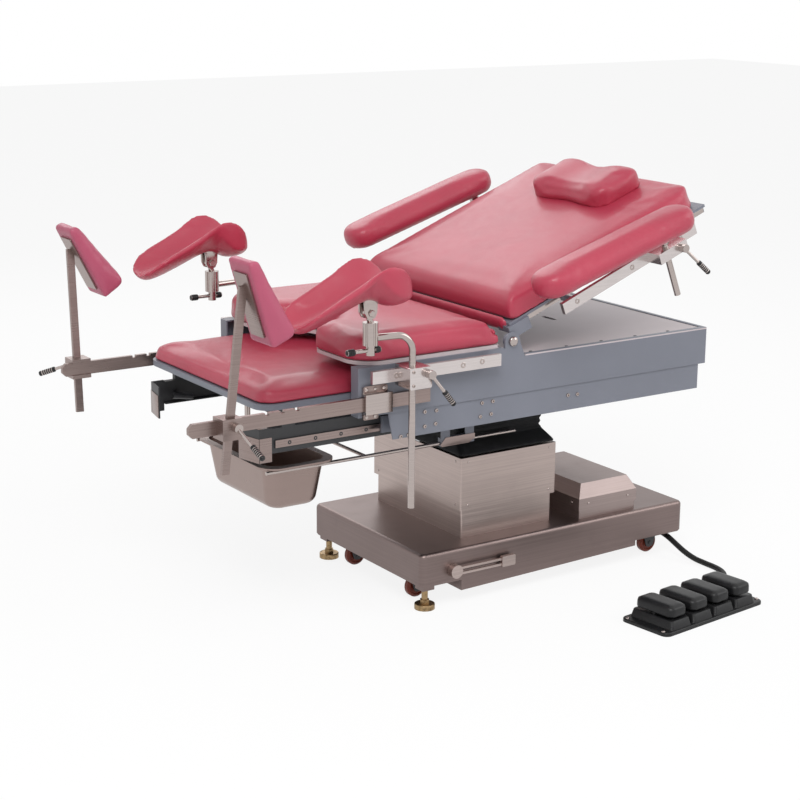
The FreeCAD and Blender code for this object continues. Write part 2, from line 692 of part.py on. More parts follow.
def bellows():
    """Pleated sleeve that hangs from the table and meets the upper skirt."""
    rings = []
    low = SKIRT_TOP_Z + 3 + SEAT_GAP
    rings.append((SKIRT_HALF_X - 2, SKIRT_HALF_Y - 2, low))
    rings.append((BELLOWS_NECK_X, BELLOWS_NECK_Y, BELLOWS_NECK_Z))
    top = FRAME_BOTTOM_Z
    steps = 2 * BELLOWS_FOLDS
    for i in range(1, steps + 1):
        share = i / steps
        fold = BELLOWS_FOLD_DEPTH if i % 2 else 0.0
        x = BELLOWS_NECK_X + (BELLOWS_TOP_X - BELLOWS_NECK_X) * share - fold
        y = BELLOWS_NECK_Y + (BELLOWS_TOP_Y - BELLOWS_NECK_Y) * share - fold
        rings.append((x, y, BELLOWS_NECK_Z + (top - BELLOWS_NECK_Z) * share))

    def stack(inset):
        layers = []
        for lower, upper in zip(rings, rings[1:]):
            wires = []
            for x, y, z in (lower, upper):
                corners = [Vector(px, py, z) for px, py in rectangle(-x + inset, x - inset, -y + inset, y - inset)]
                wires.append(profile_wire(corners, 0.0))
            layers.append(Part.makeLoft(wires, True, True))
        return layers

    return fuse(stack(0.0)).cut(fuse(stack(2.0)))


def control_box():
    """Closed steel case: a tray, a band that overhangs it and a hipped lid."""
    tray_top = COVER_TOP_Z + BOX_TRAY_HEIGHT
    band_top = tray_top + BOX_BAND_HEIGHT
    inset = 3.0
    tray = plan_prism(rectangle(BOX_FRONT_X + inset, BOX_REAR_X - inset, BOX_NEAR_Y + inset, BOX_FAR_Y - inset),
                      COVER_TOP_Z, tray_top, 2.0)
    band = plan_prism(rectangle(BOX_FRONT_X, BOX_REAR_X, BOX_NEAR_Y, BOX_FAR_Y), tray_top - 1, band_top, 2.0)
    low = [Vector(x, y, band_top) for x, y in rectangle(BOX_FRONT_X, BOX_REAR_X, BOX_NEAR_Y, BOX_FAR_Y)]
    h = BOX_HIP_INSET
    high = [Vector(x, y, BOX_TOP_Z)
            for x, y in rectangle(BOX_FRONT_X + h, BOX_REAR_X - h, BOX_NEAR_Y + h, BOX_FAR_Y - h)]
    lid = Part.makeLoft([profile_wire(low, 2.0), profile_wire(high, 2.0)], True, True)
    return fuse([tray, band, lid])


def caster_places():
    """Each caster's name and the centre of its wheel."""
    places = {}
    for name, side in SIDES.items():
        places["front_" + name] = Vector(FRONT_CASTER_X, side * FRONT_CASTER_Y, WHEEL_RADIUS)
        places["rear_" + name] = Vector(REAR_CASTER_X, side * REAR_CASTER_Y, WHEEL_RADIUS)
    return places


def caster_fork(centre):
    """A fork plate under the chassis with two cheeks and the axle between them."""
    top = COVER_BOTTOM_Z - CHASSIS_SHEET
    inner = WHEEL_WIDTH / 2 + FORK_GAP
    outer = inner + FORK_CHEEK
    plate = block(centre.x - 24, centre.x + 24, centre.y - outer - 4, centre.y + outer + 4, top - 3, top)
    pieces = [plate]
    for side in SIDES.values():
        y0 = centre.y + side * inner
        y1 = centre.y + side * outer
        cheek = side_prism([(centre.x - 20, top - 2), (centre.x + 20, top - 2),
                            (centre.x + 10, centre.z - 10), (centre.x - 10, centre.z - 10)], y0, y1, [0, 0, 9, 9])
        pieces.append(cheek)
    pieces.append(rod((centre.x, centre.y - outer - 2, centre.z), (centre.x, centre.y + outer + 2, centre.z),
                      WHEEL_AXLE_RADIUS))
    return fuse(pieces)


def wheel(centre):
    """A turned wheel with a rounded tread, a dished side and a bore."""
    half = WHEEL_WIDTH / 2
    bore = WHEEL_AXLE_RADIUS + RUNNING_CLEARANCE
    hub = bore + 4.5
    rim = WHEEL_RADIUS - 8
    points = [(bore, -half), (hub, -half), (hub + 1.5, -half + 3), (rim, -half + 3), (rim + 1.5, -half + 1),
              (WHEEL_RADIUS - 4, -half + 1), (WHEEL_RADIUS, -half + 5), (WHEEL_RADIUS, half - 5),
              (WHEEL_RADIUS - 4, half - 1), (rim + 1.5, half - 1), (rim, half - 3), (hub + 1.5, half - 3),
              (hub, half), (bore, half)]
    outline = [Vector(centre.x + r, centre.y + w, centre.z) for r, w in points]
    return Part.Face(profile_wire(outline, 0.0)).revolve(centre, Y_AXIS, 360)


def levelling_foot(side):
    """A brass pad on a threaded stem that runs up into its socket."""
    centre = Vector(FOOT_X, side * FOOT_Y, FLOOR_Z)
    pad = Part.makeCylinder(FOOT_PAD_RADIUS, FOOT_PAD_HEIGHT, centre)
    pad = round_edges(pad, 2.0, lambda edge: flat_at(edge, FOOT_PAD_HEIGHT))
    nut_top = FOOT_PAD_HEIGHT + 9
    nut_wire = [centre + Vector(11 * math.cos(math.radians(a)), 11 * math.sin(math.radians(a)), FOOT_PAD_HEIGHT)
                for a in range(0, 360, 60)]
    nut = Part.Face(profile_wire(nut_wire, 0.0)).extrude(Vector(0, 0, nut_top - FOOT_PAD_HEIGHT))
    stem = Part.makeCylinder(FOOT_STEM_RADIUS, COVER_BOTTOM_Z - CHASSIS_SHEET - FOOT_PAD_HEIGHT,
                             centre + Vector(0, 0, FOOT_PAD_HEIGHT))
    return fuse([pad, nut, stem])


def brake_lever():
    """A boss, two slim bars and a tread plate, beside the cover."""
    y0 = -COVER_HALF_WIDTH - LEVER_GAP
    y1 = y0 - BRAKE_BOSS_DEPTH
    boss = rod((BRAKE_X, y0, BRAKE_Z), (BRAKE_X, y1, BRAKE_Z), BRAKE_BOSS_RADIUS)
    bar_y = y1 + BRAKE_BAR_DEPTH + 2
    pieces = [boss]
    for side in SIDES.values():
        middle = BRAKE_Z + side * (BRAKE_BAR_GAP + BRAKE_BAR_HEIGHT) / 2
        pieces.append(block(BRAKE_X, BRAKE_TIP_X, bar_y, bar_y - BRAKE_BAR_DEPTH,
                            middle - BRAKE_BAR_HEIGHT / 2, middle + BRAKE_BAR_HEIGHT / 2))
    tread = block(BRAKE_TIP_X - BRAKE_PLATE_LENGTH, BRAKE_TIP_X, bar_y + 2, bar_y - BRAKE_BAR_DEPTH - 2,
                  BRAKE_Z - BRAKE_PLATE_HEIGHT / 2, BRAKE_Z + BRAKE_PLATE_HEIGHT / 2)
    pieces.append(round_edges(tread, 3.0, lambda edge: edge.BoundBox.YLength > BRAKE_BAR_DEPTH))
    return fuse(pieces)


def switch_placed(shape):
    """A shape built about the foot switch's own centre, put where the switch lies."""
    shape.Placement = Placement(Vector(SWITCH_X, SWITCH_Y, 0), Rotation(Z_AXIS, SWITCH_TURN))
    return shape


def pedal_x(index):
    """The place of a pedal along the switch."""
    return (index - (PEDAL_COUNT - 1) / 2) * PEDAL_PITCH


def switch_housing():
    """Flange with one ridge-topped block under each pedal, and the cable's boot."""
    flange = plan_prism(rectangle(-SWITCH_LENGTH / 2, SWITCH_LENGTH / 2, -SWITCH_DEPTH / 2, SWITCH_DEPTH / 2),
                        0, SWITCH_FLANGE, SWITCH_CORNER)
    flange = round_edges(flange, 3.0, lambda edge: flat_at(edge, SWITCH_FLANGE))
    pieces = [flange]
    for i in range(PEDAL_COUNT):
        x = pedal_x(i)
        pieces.append(plan_prism(rectangle(x - BLOCK_WIDTH / 2, x + BLOCK_WIDTH / 2, -BLOCK_DEPTH / 2, BLOCK_DEPTH / 2),
                                 SWITCH_FLANGE - 1, BLOCK_TOP_Z, 6.0))
        ridge = PEDAL_RIDGE / 2
        pieces.append(block(x - BLOCK_WIDTH / 2, x + BLOCK_WIDTH / 2, -ridge, ridge,
                            BLOCK_TOP_Z - 1, PEDAL_BOTTOM_Z - SEAT_GAP))
    housing = switch_placed(fuse(pieces))
    end = Vector(CABLE_ROUTE[-1])
    toward = (end - Vector(CABLE_ROUTE[-2])).normalize()
    boot = Part.makeCone(BOOT_RADIUS - 2, BOOT_RADIUS + 1, 22, end, toward)
    return fuse([housing, boot])


def pedal(index):
    """A rounded rocker cap, long in the direction that it rocks."""
    x = pedal_x(index)
    cap = block(x - PEDAL_WIDTH / 2, x + PEDAL_WIDTH / 2, -PEDAL_DEPTH / 2, PEDAL_DEPTH / 2,
                PEDAL_BOTTOM_Z, PEDAL_TOP_Z)
    cap = round_edges(cap, PEDAL_RADIUS, lambda edge: edge.BoundBox.ZMax > PEDAL_BOTTOM_Z + 1)
    return switch_placed(cap)


def cable():
    """The cable as runs joined by tangent arcs; prints its radii and length."""
    route = [Vector(p) for p in CABLE_ROUTE]
    radii = []
    for i in range(1, len(route) - 1):
        before = route[i - 1] - route[i]
        after = route[i + 1] - route[i]
        turn = math.pi - before.getAngle(after)
        radii.append(0.45 * min(before.Length, after.Length) / math.tan(turn / 2))
    tube, length = bent_rod(route, radii, CABLE_DIAMETER / 2)
    print("cable radii", [round(r) for r in radii], "length", round(length))
    print("volume over section times length", round(tube.Volume / (math.pi * CABLE_DIAMETER ** 2 / 4 * length), 4))
    return tube


def table_frame():
    """The folded frame: two-tier sides, front returns, deck flanges, floor pan, beams, guides and ears."""
    half = FRAME_HALF_WIDTH
    t = FRAME_SHEET
    upper = [(FRAME_FRONT_X, FRAME_MID_Z), (FRAME_FRONT_X, FRAME_SEAT_Z), (FRAME_STEP_X, FRAME_SEAT_Z),
             (FRAME_NOTCH_X, FRAME_DECK_Z), (FRAME_REAR_X, FRAME_DECK_Z), (FRAME_REAR_X, FRAME_MID_Z)]
    lower = [(LOWER_FRONT_TOP_X, FRAME_MID_Z + 12), (LOWER_FRONT_TOP_X, FRAME_MID_Z),
             (LOWER_FRONT_BOTTOM_X, FRAME_BOTTOM_Z), (LOWER_REAR_X, FRAME_BOTTOM_Z), (LOWER_REAR_X, FRAME_MID_Z + 12)]
    side_pieces = [
        side_prism(upper, half - t, half),
        side_prism(lower, half - 2 * t, half - t),
        block(FRAME_FRONT_X, FRAME_FRONT_X + t, half - FRAME_LIP, half - t, FRAME_MID_Z, FRAME_SEAT_Z),
        block(FRAME_FRONT_X, FRAME_STEP_X, half - FRAME_LIP, half - t, FRAME_SEAT_Z - t, FRAME_SEAT_Z),
        block(FRAME_NOTCH_X, FRAME_REAR_X, half - FRAME_LIP, half - t, FRAME_DECK_Z - t, FRAME_DECK_Z),
    ]
    cheek_low = FRAME_DECK_Z - 30
    cheek = side_prism([(HINGE_X - HINGE_CHEEK_RADIUS, cheek_low), (HINGE_X - HINGE_CHEEK_RADIUS, HINGE_Z),
                        (HINGE_X + HINGE_CHEEK_RADIUS, HINGE_Z), (HINGE_CHEEK_REAR_X, FRAME_DECK_Z),
                        (HINGE_CHEEK_REAR_X, cheek_low)], half - 2 * t, half - t + 0.5)
    cheek_top = rod((HINGE_X, half - 2 * t, HINGE_Z), (HINGE_X, half, HINGE_Z), HINGE_CHEEK_RADIUS)
    cheek_skin = side_prism([(HINGE_X - HINGE_CHEEK_RADIUS, FRAME_DECK_Z), (HINGE_X - HINGE_CHEEK_RADIUS, HINGE_Z),
                             (HINGE_X + HINGE_CHEEK_RADIUS, HINGE_Z), (HINGE_CHEEK_REAR_X, FRAME_DECK_Z)],
                            half - t, half)
    side_pieces.extend([cheek, cheek_top, cheek_skin])
    guide_inner = CHANNEL_OUTER_Y + STRIP_THICKNESS + GUIDE_CLEARANCE
    side_pieces.append(block(GUIDE_FRONT_X, GUIDE_REAR_X, guide_inner, guide_inner + GUIDE_THICKNESS,
                             CHANNEL_LOW_Z + 8, CHANNEL_HIGH_Z - 8))
    for x in (GUIDE_FRONT_X + 30, GUIDE_REAR_X - 30):
        side_pieces.append(block(x - 10, x + 10, guide_inner + GUIDE_THICKNESS - 1, half - 2 * t + 1,
                                 CHANNEL_LOW_Z + 14, CHANNEL_HIGH_Z - 14))
    hanger_low = ROD_GUIDE_LOW_Z
    side_pieces.append(block(ROD_GUIDE_FRONT_X, ROD_GUIDE_REAR_X, ROD_GUIDE_INNER_Y, ROD_GUIDE_OUTER_Y,
                             hanger_low, ROD_GUIDE_HIGH_Z))
    for x in (ROD_GUIDE_FRONT_X + 12, ROD_GUIDE_REAR_X - 12):
        side_pieces.append(block(x - 11, x + 11, ROD_GUIDE_OUTER_Y - 4, ROD_GUIDE_OUTER_Y,
                                 ROD_GUIDE_HIGH_Z - 1, FRAME_BOTTOM_Z + 1))
    ear_y0 = YOKE_Y + YOKE_THICKNESS + TILT_EAR_GAP
    ear_y1 = ear_y0 + YOKE_THICKNESS
    side_pieces.append(side_prism([(-60, FRAME_BOTTOM_Z + t), (60, FRAME_BOTTOM_Z + t),
                                   (YOKE_RADIUS, TILT_Z), (-YOKE_RADIUS, TILT_Z)], ear_y0, ear_y1))
    side_pieces.append(rod((0, ear_y0, TILT_Z), (0, ear_y1, TILT_Z), YOKE_RADIUS))
    floor_half = FLOOR_PLATE_HALF_WIDTH
    side_pieces.append(block(GUIDE_REAR_X, LOWER_REAR_X - 2 * t, floor_half - t, floor_half,
                             FRAME_BOTTOM_Z, CROSS_BEAM_BOTTOM_Z + t))
    pieces = []
    for piece in side_pieces:
        pieces.extend(both_sides(piece))
    pieces.append(block(LOWER_FRONT_BOTTOM_X, LOWER_REAR_X - t, -floor_half, floor_half,
                        FRAME_BOTTOM_Z, FRAME_BOTTOM_Z + t))
    for x in CROSS_BEAM_X:
        beam = block(x - CROSS_BEAM_WIDTH / 2, x + CROSS_BEAM_WIDTH / 2, -half + t + 0.5, half - t - 0.5,
                     CROSS_BEAM_BOTTOM_Z, CROSS_BEAM_TOP_Z)
        pieces.append(beam)
    pieces.append(block(FRAME_REAR_X - t, FRAME_REAR_X, -half + t - 0.5, half - t + 0.5, FRAME_MID_Z, FRAME_DECK_Z))
    pieces.append(block(LOWER_REAR_X - t, LOWER_REAR_X, -half + 2 * t, half - 2 * t, FRAME_BOTTOM_Z, FRAME_MID_Z + 12))
    frame = fuse(pieces)
    bores = []
    for side in SIDES.values():
        bores.append(rod((0, side * (ear_y0 - 1), TILT_Z), (0, side * (ear_y1 + 1), TILT_Z),
                         TILT_PIN_RADIUS + RUNNING_CLEARANCE))
        bores.append(rod((HINGE_X, side * (half - 3 * t), HINGE_Z), (HINGE_X, side * (half + t), HINGE_Z),
                         HINGE_PIN_RADIUS + RUNNING_CLEARANCE))
        bores.append(rod((ROD_GUIDE_FRONT_X - 1, side * ROD_Y, ROD_Z), (ROD_GUIDE_REAR_X + 1, side * ROD_Y, ROD_Z),
                         ROD_RADIUS + ROD_CLEARANCE))
    return cut(frame, bores)


def table_top_cover():
    sheet = block(FRAME_NOTCH_X + 26, FRAME_REAR_X, -FRAME_HALF_WIDTH, FRAME_HALF_WIDTH,
                  FRAME_DECK_Z, FRAME_DECK_Z + COVER_PLATE)
    front = block(FRAME_NOTCH_X, FRAME_NOTCH_X + 26, -FRAME_HALF_WIDTH + 10, FRAME_HALF_WIDTH - 10,
                  FRAME_DECK_Z, FRAME_DECK_Z + COVER_PLATE)
    slot = block(DECK_SLOT_X - DECK_SLOT_WIDTH / 2, DECK_SLOT_X + DECK_SLOT_WIDTH / 2,
                 DECK_SLOT_Y - DECK_SLOT_LENGTH / 2, DECK_SLOT_Y + DECK_SLOT_LENGTH / 2,
                 FRAME_DECK_Z - 1, FRAME_DECK_Z + COVER_PLATE + 1)
    return cut(fuse([sheet, front]), [slot])


def seat_outline(grow=0.0):
    """Plan outline of the seat with its U-shaped recess, and the radius of each corner."""
    half = SEAT_HALF_WIDTH + grow
    front = SEAT_FRONT_X - grow
    bottom = SEAT_FRONT_X + RECESS_DEPTH
    wide = RECESS_HALF_WIDTH
    narrow = wide - 18
    points = [(SEAT_REAR_X, -half), (SEAT_REAR_X, half), (front, half), (front, wide + 14), (bottom, narrow),
              (bottom, -narrow), (front, -wide - 14), (front, -half)]
    radii = [12, 12, SEAT_CORNER_RADIUS, RECESS_MOUTH_RADIUS, RECESS_BOTTOM_RADIUS,
             RECESS_BOTTOM_RADIUS, RECESS_MOUTH_RADIUS, SEAT_CORNER_RADIUS]
    return points, radii


def seat_board():
    points, radii = seat_outline(-6.0)
    return plan_prism(points, FRAME_SEAT_Z, FRAME_SEAT_Z + SEAT_BOARD, radii)


def seat_cushion():
    """One padded slab with its recess, lower where the backrest comes down behind it."""
    points, radii = seat_outline()
    low = FRAME_SEAT_Z + SEAT_BOARD
    slab = plan_prism(points, low, SEAT_TOP_Z, radii)
    step = block(SEAT_FULL_REAR_X, SEAT_REAR_X + 10, -SEAT_HALF_WIDTH - 10, SEAT_HALF_WIDTH + 10,
                 SEAT_STEP_Z, SEAT_TOP_Z + 10)
    slab = slab.cut(step)
    return round_edges(slab, SEAT_EDGE_RADIUS, lambda edge: flat_at(edge, SEAT_TOP_Z))


def rail_bar(x0, x1, z0, z1):
    return block(x0, x1, RAIL_INNER_Y, RAIL_INNER_Y + RAIL_THICKNESS, z0, z1)


def seat_rails():
    """Side rails of flat bar on their stand-offs, each with the clamp that holds a crutch rod."""
    one_side = [rail_bar(RAIL_FRONT_X, RAIL_REAR_X, RAIL_LOW_Z, RAIL_HIGH_Z)]
    middle_z = (RAIL_LOW_Z + RAIL_HIGH_Z) / 2
    for x in RAIL_STANDOFFS:
        one_side.append(rod((x, FRAME_HALF_WIDTH, middle_z), (x, RAIL_INNER_Y + 1, middle_z), STANDOFF_RADIUS))
    outer = RAIL_INNER_Y + RAIL_THICKNESS
    clamp = block(CLAMP_FRONT_X, CLAMP_REAR_X, outer, CLAMP_OUTER_Y, CLAMP_LOW_Z, CLAMP_HIGH_Z)
    clamp = round_edges(clamp, 4.0, lambda edge: edge.BoundBox.YLength > CLAMP_OUTER_Y - outer - 1)
    hook_top = block(CLAMP_FRONT_X + 4, CLAMP_REAR_X - 4, CLAMP_HOOK_Y, outer + 2, RAIL_HIGH_Z, CLAMP_HIGH_Z)
    hook_low = block(CLAMP_FRONT_X + 4, CLAMP_REAR_X - 4, CLAMP_HOOK_Y, outer + 2, CLAMP_LOW_Z, RAIL_LOW_Z)
    one_side.extend([clamp, hook_top, hook_low])
    bore = rod((CRUTCH_X, CRUTCH_Y, CLAMP_LOW_Z - 1), (CRUTCH_X, CRUTCH_Y, CLAMP_HIGH_Z + 1),
               CRUTCH_ROD_RADIUS + RUNNING_CLEARANCE)
    rail = cut(fuse(one_side), [bore])
    return Part.makeCompound(both_sides(rail))


def bar_brackets():
    """A bracket on each side of the frame, with a window that the support bar slides through."""
    inner = FRAME_HALF_WIDTH
    bar_outer = BAR_INNER_Y + BAR_THICKNESS
    outer = bar_outer + BRACKET_CLEARANCE + BRACKET_SHEET
    gap = BRACKET_CLEARANCE
    top = BAR_LOW_Z + BAR_HEIGHT + gap
    low = BAR_LOW_Z - gap
    body = block(BRACKET_FRONT_X, BRACKET_REAR_X, inner, outer, low - BRACKET_SHEET, top + BRACKET_SHEET)
    window = block(BRACKET_FRONT_X - 1, BRACKET_REAR_X + 1, BAR_INNER_Y - gap, bar_outer + gap, low, top)
    upper = block(BRACKET_FRONT_X, BRACKET_REAR_X - 6, inner, inner + BRACKET_SHEET,
                  top, top + BRACKET_SHEET + BRACKET_FLANGE_HEIGHT)
    bracket = cut(fuse([body, upper]), [window])
    return Part.makeCompound(both_sides(bracket))


def basin_rods():
    """Two sliding rods joined by a cross bar."""
    pieces = []
    for side in SIDES.values():
        pieces.append(rod((ROD_FRONT_X, side * ROD_Y, ROD_Z), (ROD_REAR_X, side * ROD_Y, ROD_Z), ROD_RADIUS))
    pieces.append(rod((ROD_CROSS_X, -ROD_Y, ROD_Z), (ROD_CROSS_X, ROD_Y, ROD_Z), ROD_RADIUS))
    return fuse(pieces)


def basin():
    """Deep-drawn rectangular basin whose flange lies on the rods, with a rolled lip outside them."""
    lip_low = ROD_Z + ROD_RADIUS + LEVER_GAP
    rim_low = lip_low + BASIN_LIP
    rim_top = rim_low + BASIN_SHEET
    half_x = BASIN_LENGTH / 2
    half_y = BASIN_WIDTH / 2

    def bowl(inset, floor, top):
        wires = []
        for z, shrink in ((top, BASIN_RIM + inset), (floor, BASIN_RIM + BASIN_TAPER + inset)):
            corners = [Vector(BASIN_CENTRE_X + x, y, z)
                       for x, y in rectangle(-half_x + shrink, half_x - shrink, -half_y + shrink, half_y - shrink)]
            wires.append(profile_wire(corners, BASIN_CORNER_RADIUS - inset))
        solid = Part.makeLoft(wires, True, True)
        return round_edges(solid, BASIN_FLOOR_RADIUS - inset, lambda edge: flat_at(edge, floor))

    bowl_top = rim_top
    outer = bowl(0.0, rim_top - BASIN_DEPTH, bowl_top)
    inner = bowl(BASIN_SHEET, rim_top - BASIN_DEPTH + BASIN_SHEET, bowl_top)
    flange = plan_prism([(BASIN_CENTRE_X + x, y) for x, y in rectangle(-half_x, half_x, -half_y, half_y)],
                        rim_low, rim_top, BASIN_CORNER_RADIUS + BASIN_RIM / 2)
    lip_half_x = half_x - BASIN_SHEET
    lip_half_y = half_y - BASIN_SHEET
    lip_corner = BASIN_CORNER_RADIUS + BASIN_RIM / 2
    lip = plan_prism([(BASIN_CENTRE_X + x, y) for x, y in rectangle(-half_x, half_x, -half_y, half_y)],
                     lip_low, rim_low, lip_corner)
    inside_lip = plan_prism([(BASIN_CENTRE_X + x, y)
                             for x, y in rectangle(-lip_half_x, lip_half_x, -lip_half_y, lip_half_y)],
                            lip_low, rim_low, lip_corner - BASIN_SHEET)
    return cut(fuse([outer, flange, lip.cut(inside_lip)]), [inner])


def leg_outline(inset=0.0):
    points = rectangle(LEG_FRONT_X + inset, LEG_REAR_X - inset, -LEG_HALF_WIDTH + inset, LEG_HALF_WIDTH - inset)
    radii = [LEG_CORNER_RADIUS - inset, 8, 8, LEG_CORNER_RADIUS - inset]
    return points, radii


def leg_board():
    points, radii = leg_outline()
    return plan_prism(points, LEG_BOARD_LOW_Z, LEG_BOARD_LOW_Z + LEG_BOARD, radii)


def leg_cushion():
    points, radii = leg_outline(2.0)
    low = LEG_BOARD_LOW_Z + LEG_BOARD
    top = low + LEG_CUSHION_THICKNESS
    slab = plan_prism(points, low, top, radii)
    return round_edges(slab, LEG_EDGE_RADIUS, lambda edge: flat_at(edge, top))


def leg_slides():
    """Two channels with slide strips, bent end plates, cross bars up to the board and a release lever."""
    one_side = []
    web = block(CHANNEL_FRONT_X, CHANNEL_REAR_X, CHANNEL_OUTER_Y - CHANNEL_SHEET, CHANNEL_OUTER_Y,
                CHANNEL_LOW_Z, CHANNEL_HIGH_Z)
    for z in (CHANNEL_LOW_Z, CHANNEL_HIGH_Z - CHANNEL_SHEET):
        one_side.append(block(CHANNEL_FRONT_X, CHANNEL_REAR_X, CHANNEL_INNER_Y, CHANNEL_OUTER_Y,
                              z, z + CHANNEL_SHEET))
    strip = block(CHANNEL_FRONT_X + 8, CHANNEL_REAR_X, CHANNEL_OUTER_Y, CHANNEL_OUTER_Y + STRIP_THICKNESS,
                  STRIP_LOW_Z, STRIP_HIGH_Z)
    plate_bend_x = END_PLATE_FRONT_X + 12
    plate = prism([(CHANNEL_FRONT_X + 2, CHANNEL_OUTER_Y, CHANNEL_LOW_Z - 17),
                   (plate_bend_x, CHANNEL_OUTER_Y, CHANNEL_LOW_Z - 17),
                   (END_PLATE_FRONT_X, CHANNEL_OUTER_Y - 60, CHANNEL_LOW_Z - 17),
                   (END_PLATE_FRONT_X + END_PLATE_SHEET, CHANNEL_OUTER_Y - 60, CHANNEL_LOW_Z - 17),
                   (plate_bend_x + END_PLATE_SHEET - 1, CHANNEL_OUTER_Y - END_PLATE_SHEET, CHANNEL_LOW_Z - 17),
                   (CHANNEL_FRONT_X + 2, CHANNEL_OUTER_Y - END_PLATE_SHEET, CHANNEL_LOW_Z - 17)],
                  (0, 0, CHANNEL_HIGH_Z - CHANNEL_LOW_Z + 18))
    one_side.extend([web, strip, plate])
    board_low = LEG_BOARD_LOW_Z
    for x in LEG_CROSS_X:
        one_side.append(block(x - LEG_CROSS_WIDTH / 2, x + LEG_CROSS_WIDTH / 2,
                              CHANNEL_OUTER_Y - 2 * CHANNEL_SHEET - 8, CHANNEL_OUTER_Y, CHANNEL_HIGH_Z - 1, board_low))
    pieces = []
    for piece in one_side:
        pieces.extend(both_sides(piece))
    for x in LEG_CROSS_X:
        pieces.append(block(x - LEG_CROSS_WIDTH / 2, x + LEG_CROSS_WIDTH / 2, -CHANNEL_OUTER_Y + 1,
                            CHANNEL_OUTER_Y - 1, board_low - 22, board_low))
    release_y = CHANNEL_INNER_Y - 24
    pieces.append(rod((RELEASE_X, CHANNEL_OUTER_Y - 1, RELEASE_Z), (RELEASE_X, release_y, RELEASE_Z), 5.0))
    pieces.append(rod((RELEASE_X - 24, release_y, RELEASE_Z + 4), (RELEASE_X + 24, release_y, RELEASE_Z - 4), 6.5))
    return fuse(pieces)


def back_frame():
    """Two bars and cross members under the board, with ears and pins at the hinge."""
    pieces = []
    low = BACK_BAR_LOW
    high = BACK_CUSHION_LOW - BACK_BOARD
    for side in SIDES.values():
        y0 = side * BACK_BAR_Y - BACK_BAR_WIDTH / 2
        y1 = side * BACK_BAR_Y + BACK_BAR_WIDTH / 2
        pieces.append(back_block(6, BACK_LENGTH + 2, y0, y1, low, high))
        ear_y1 = side * (FRAME_HALF_WIDTH - 2 * FRAME_SHEET - 1.0)
        ear_y0 = ear_y1 - side * 8
        pieces.append(back_block(4, 60, ear_y0, ear_y1, 0, high))
        pieces.append(rod((HINGE_X, ear_y0, HINGE_Z), (HINGE_X, ear_y1, HINGE_Z), 15.0))
        pieces.append(rod((HINGE_X, ear_y0, HINGE_Z), (HINGE_X, side * (FRAME_HALF_WIDTH + 2.5), HINGE_Z),
                          HINGE_PIN_RADIUS))
        pieces.append(back_block(20, 60, y1 if side > 0 else ear_y0, ear_y0 if side > 0 else y0, low, high))
        for along in BACK_STANDOFFS:
            middle = (BACK_RAIL_LOW + BACK_RAIL_HIGH) / 2
            start = back_point(along, middle, side * BACK_BAR_Y)
            end = back_point(along, middle, side * RAIL_INNER_Y)
            pieces.append(rod(start, end, STANDOFF_RADIUS))
    for along in (60.0, 290.0, BACK_LENGTH - 20.0):
        pieces.append(back_block(along - 15, along + 15, -BACK_BAR_Y, BACK_BAR_Y, low, high))
    pieces.append(back_block(12, BACK_LENGTH + 2, -BACK_HALF_WIDTH + 8, BACK_HALF_WIDTH - 8, high, BACK_CUSHION_LOW))
    return fuse(pieces)


def back_cushion():
    """Slab whose side, end and plan outlines are each rounded, turned to the backrest's angle."""
    low = BACK_CUSHION_LOW
    top = low + BACK_CUSHION_THICKNESS
    half = BACK_HALF_WIDTH
    side_view = side_prism([(BACK_START, low), (BACK_LENGTH, low), (BACK_LENGTH, top), (BACK_START, top)],
                           -half, half, [6, 6, BACK_EDGE_RADIUS, BACK_LOWER_EDGE_RADIUS])
    end_view = prism([(BACK_START, -half, low), (BACK_START, half, low), (BACK_START, half, top),
                      (BACK_START, -half, top)], (BACK_LENGTH - BACK_START, 0, 0),
                     [4, 4, BACK_EDGE_RADIUS, BACK_EDGE_RADIUS])
    plan_view = plan_prism(rectangle(BACK_START, BACK_LENGTH, -half, half), low, top,
                           [8, BACK_CORNER_RADIUS, BACK_CORNER_RADIUS, 8])
    return laid_on_back(side_view.common(end_view).common(plan_view))


def back_rails():
    """Rails beside the backrest, each with the clamp that holds an armrest's rod."""
    rails = []
    for side in SIDES.values():
        inner = side * RAIL_INNER_Y
        outer = side * (RAIL_INNER_Y + RAIL_THICKNESS)
        rail = back_block(BACK_RAIL_START, BACK_RAIL_END, inner, outer, BACK_RAIL_LOW, BACK_RAIL_HIGH)
        clamp = back_block(ARM_CLAMP_START, ARM_CLAMP_END, outer, side * ARM_CLAMP_OUTER_Y,
                           ARM_CLAMP_LOW, ARM_CLAMP_HIGH)
        bore = rod(back_point(ARM_ALONG, ARM_CLAMP_LOW - 5, side * ARM_ROD_Y),
                   back_point(ARM_ALONG, ARM_CLAMP_HIGH + 5, side * ARM_ROD_Y), ARM_ROD_RADIUS + RUNNING_CLEARANCE)
        rails.append(cut(fuse([rail, clamp]), [bore]))
    return Part.makeCompound(rails)


def pillow():
    """Head pillow, two lobes with a valley between them, on the back cushion."""
    low = BACK_CUSHION_LOW + BACK_CUSHION_THICKNESS + PILLOW_REST_GAP
    x0 = PILLOW_ALONG - PILLOW_LENGTH / 2
    x1 = PILLOW_ALONG + PILLOW_LENGTH / 2
    y0 = PILLOW_Y - PILLOW_WIDTH / 2
    y1 = PILLOW_Y + PILLOW_WIDTH / 2
    slab = plan_prism(rectangle(x0, x1, y0, y1), low, low + PILLOW_THICKNESS, 32.0)
    slab = round_edges(slab, 16.0, lambda edge: flat_at(edge, low + PILLOW_THICKNESS))
    return laid_on_back(slab)


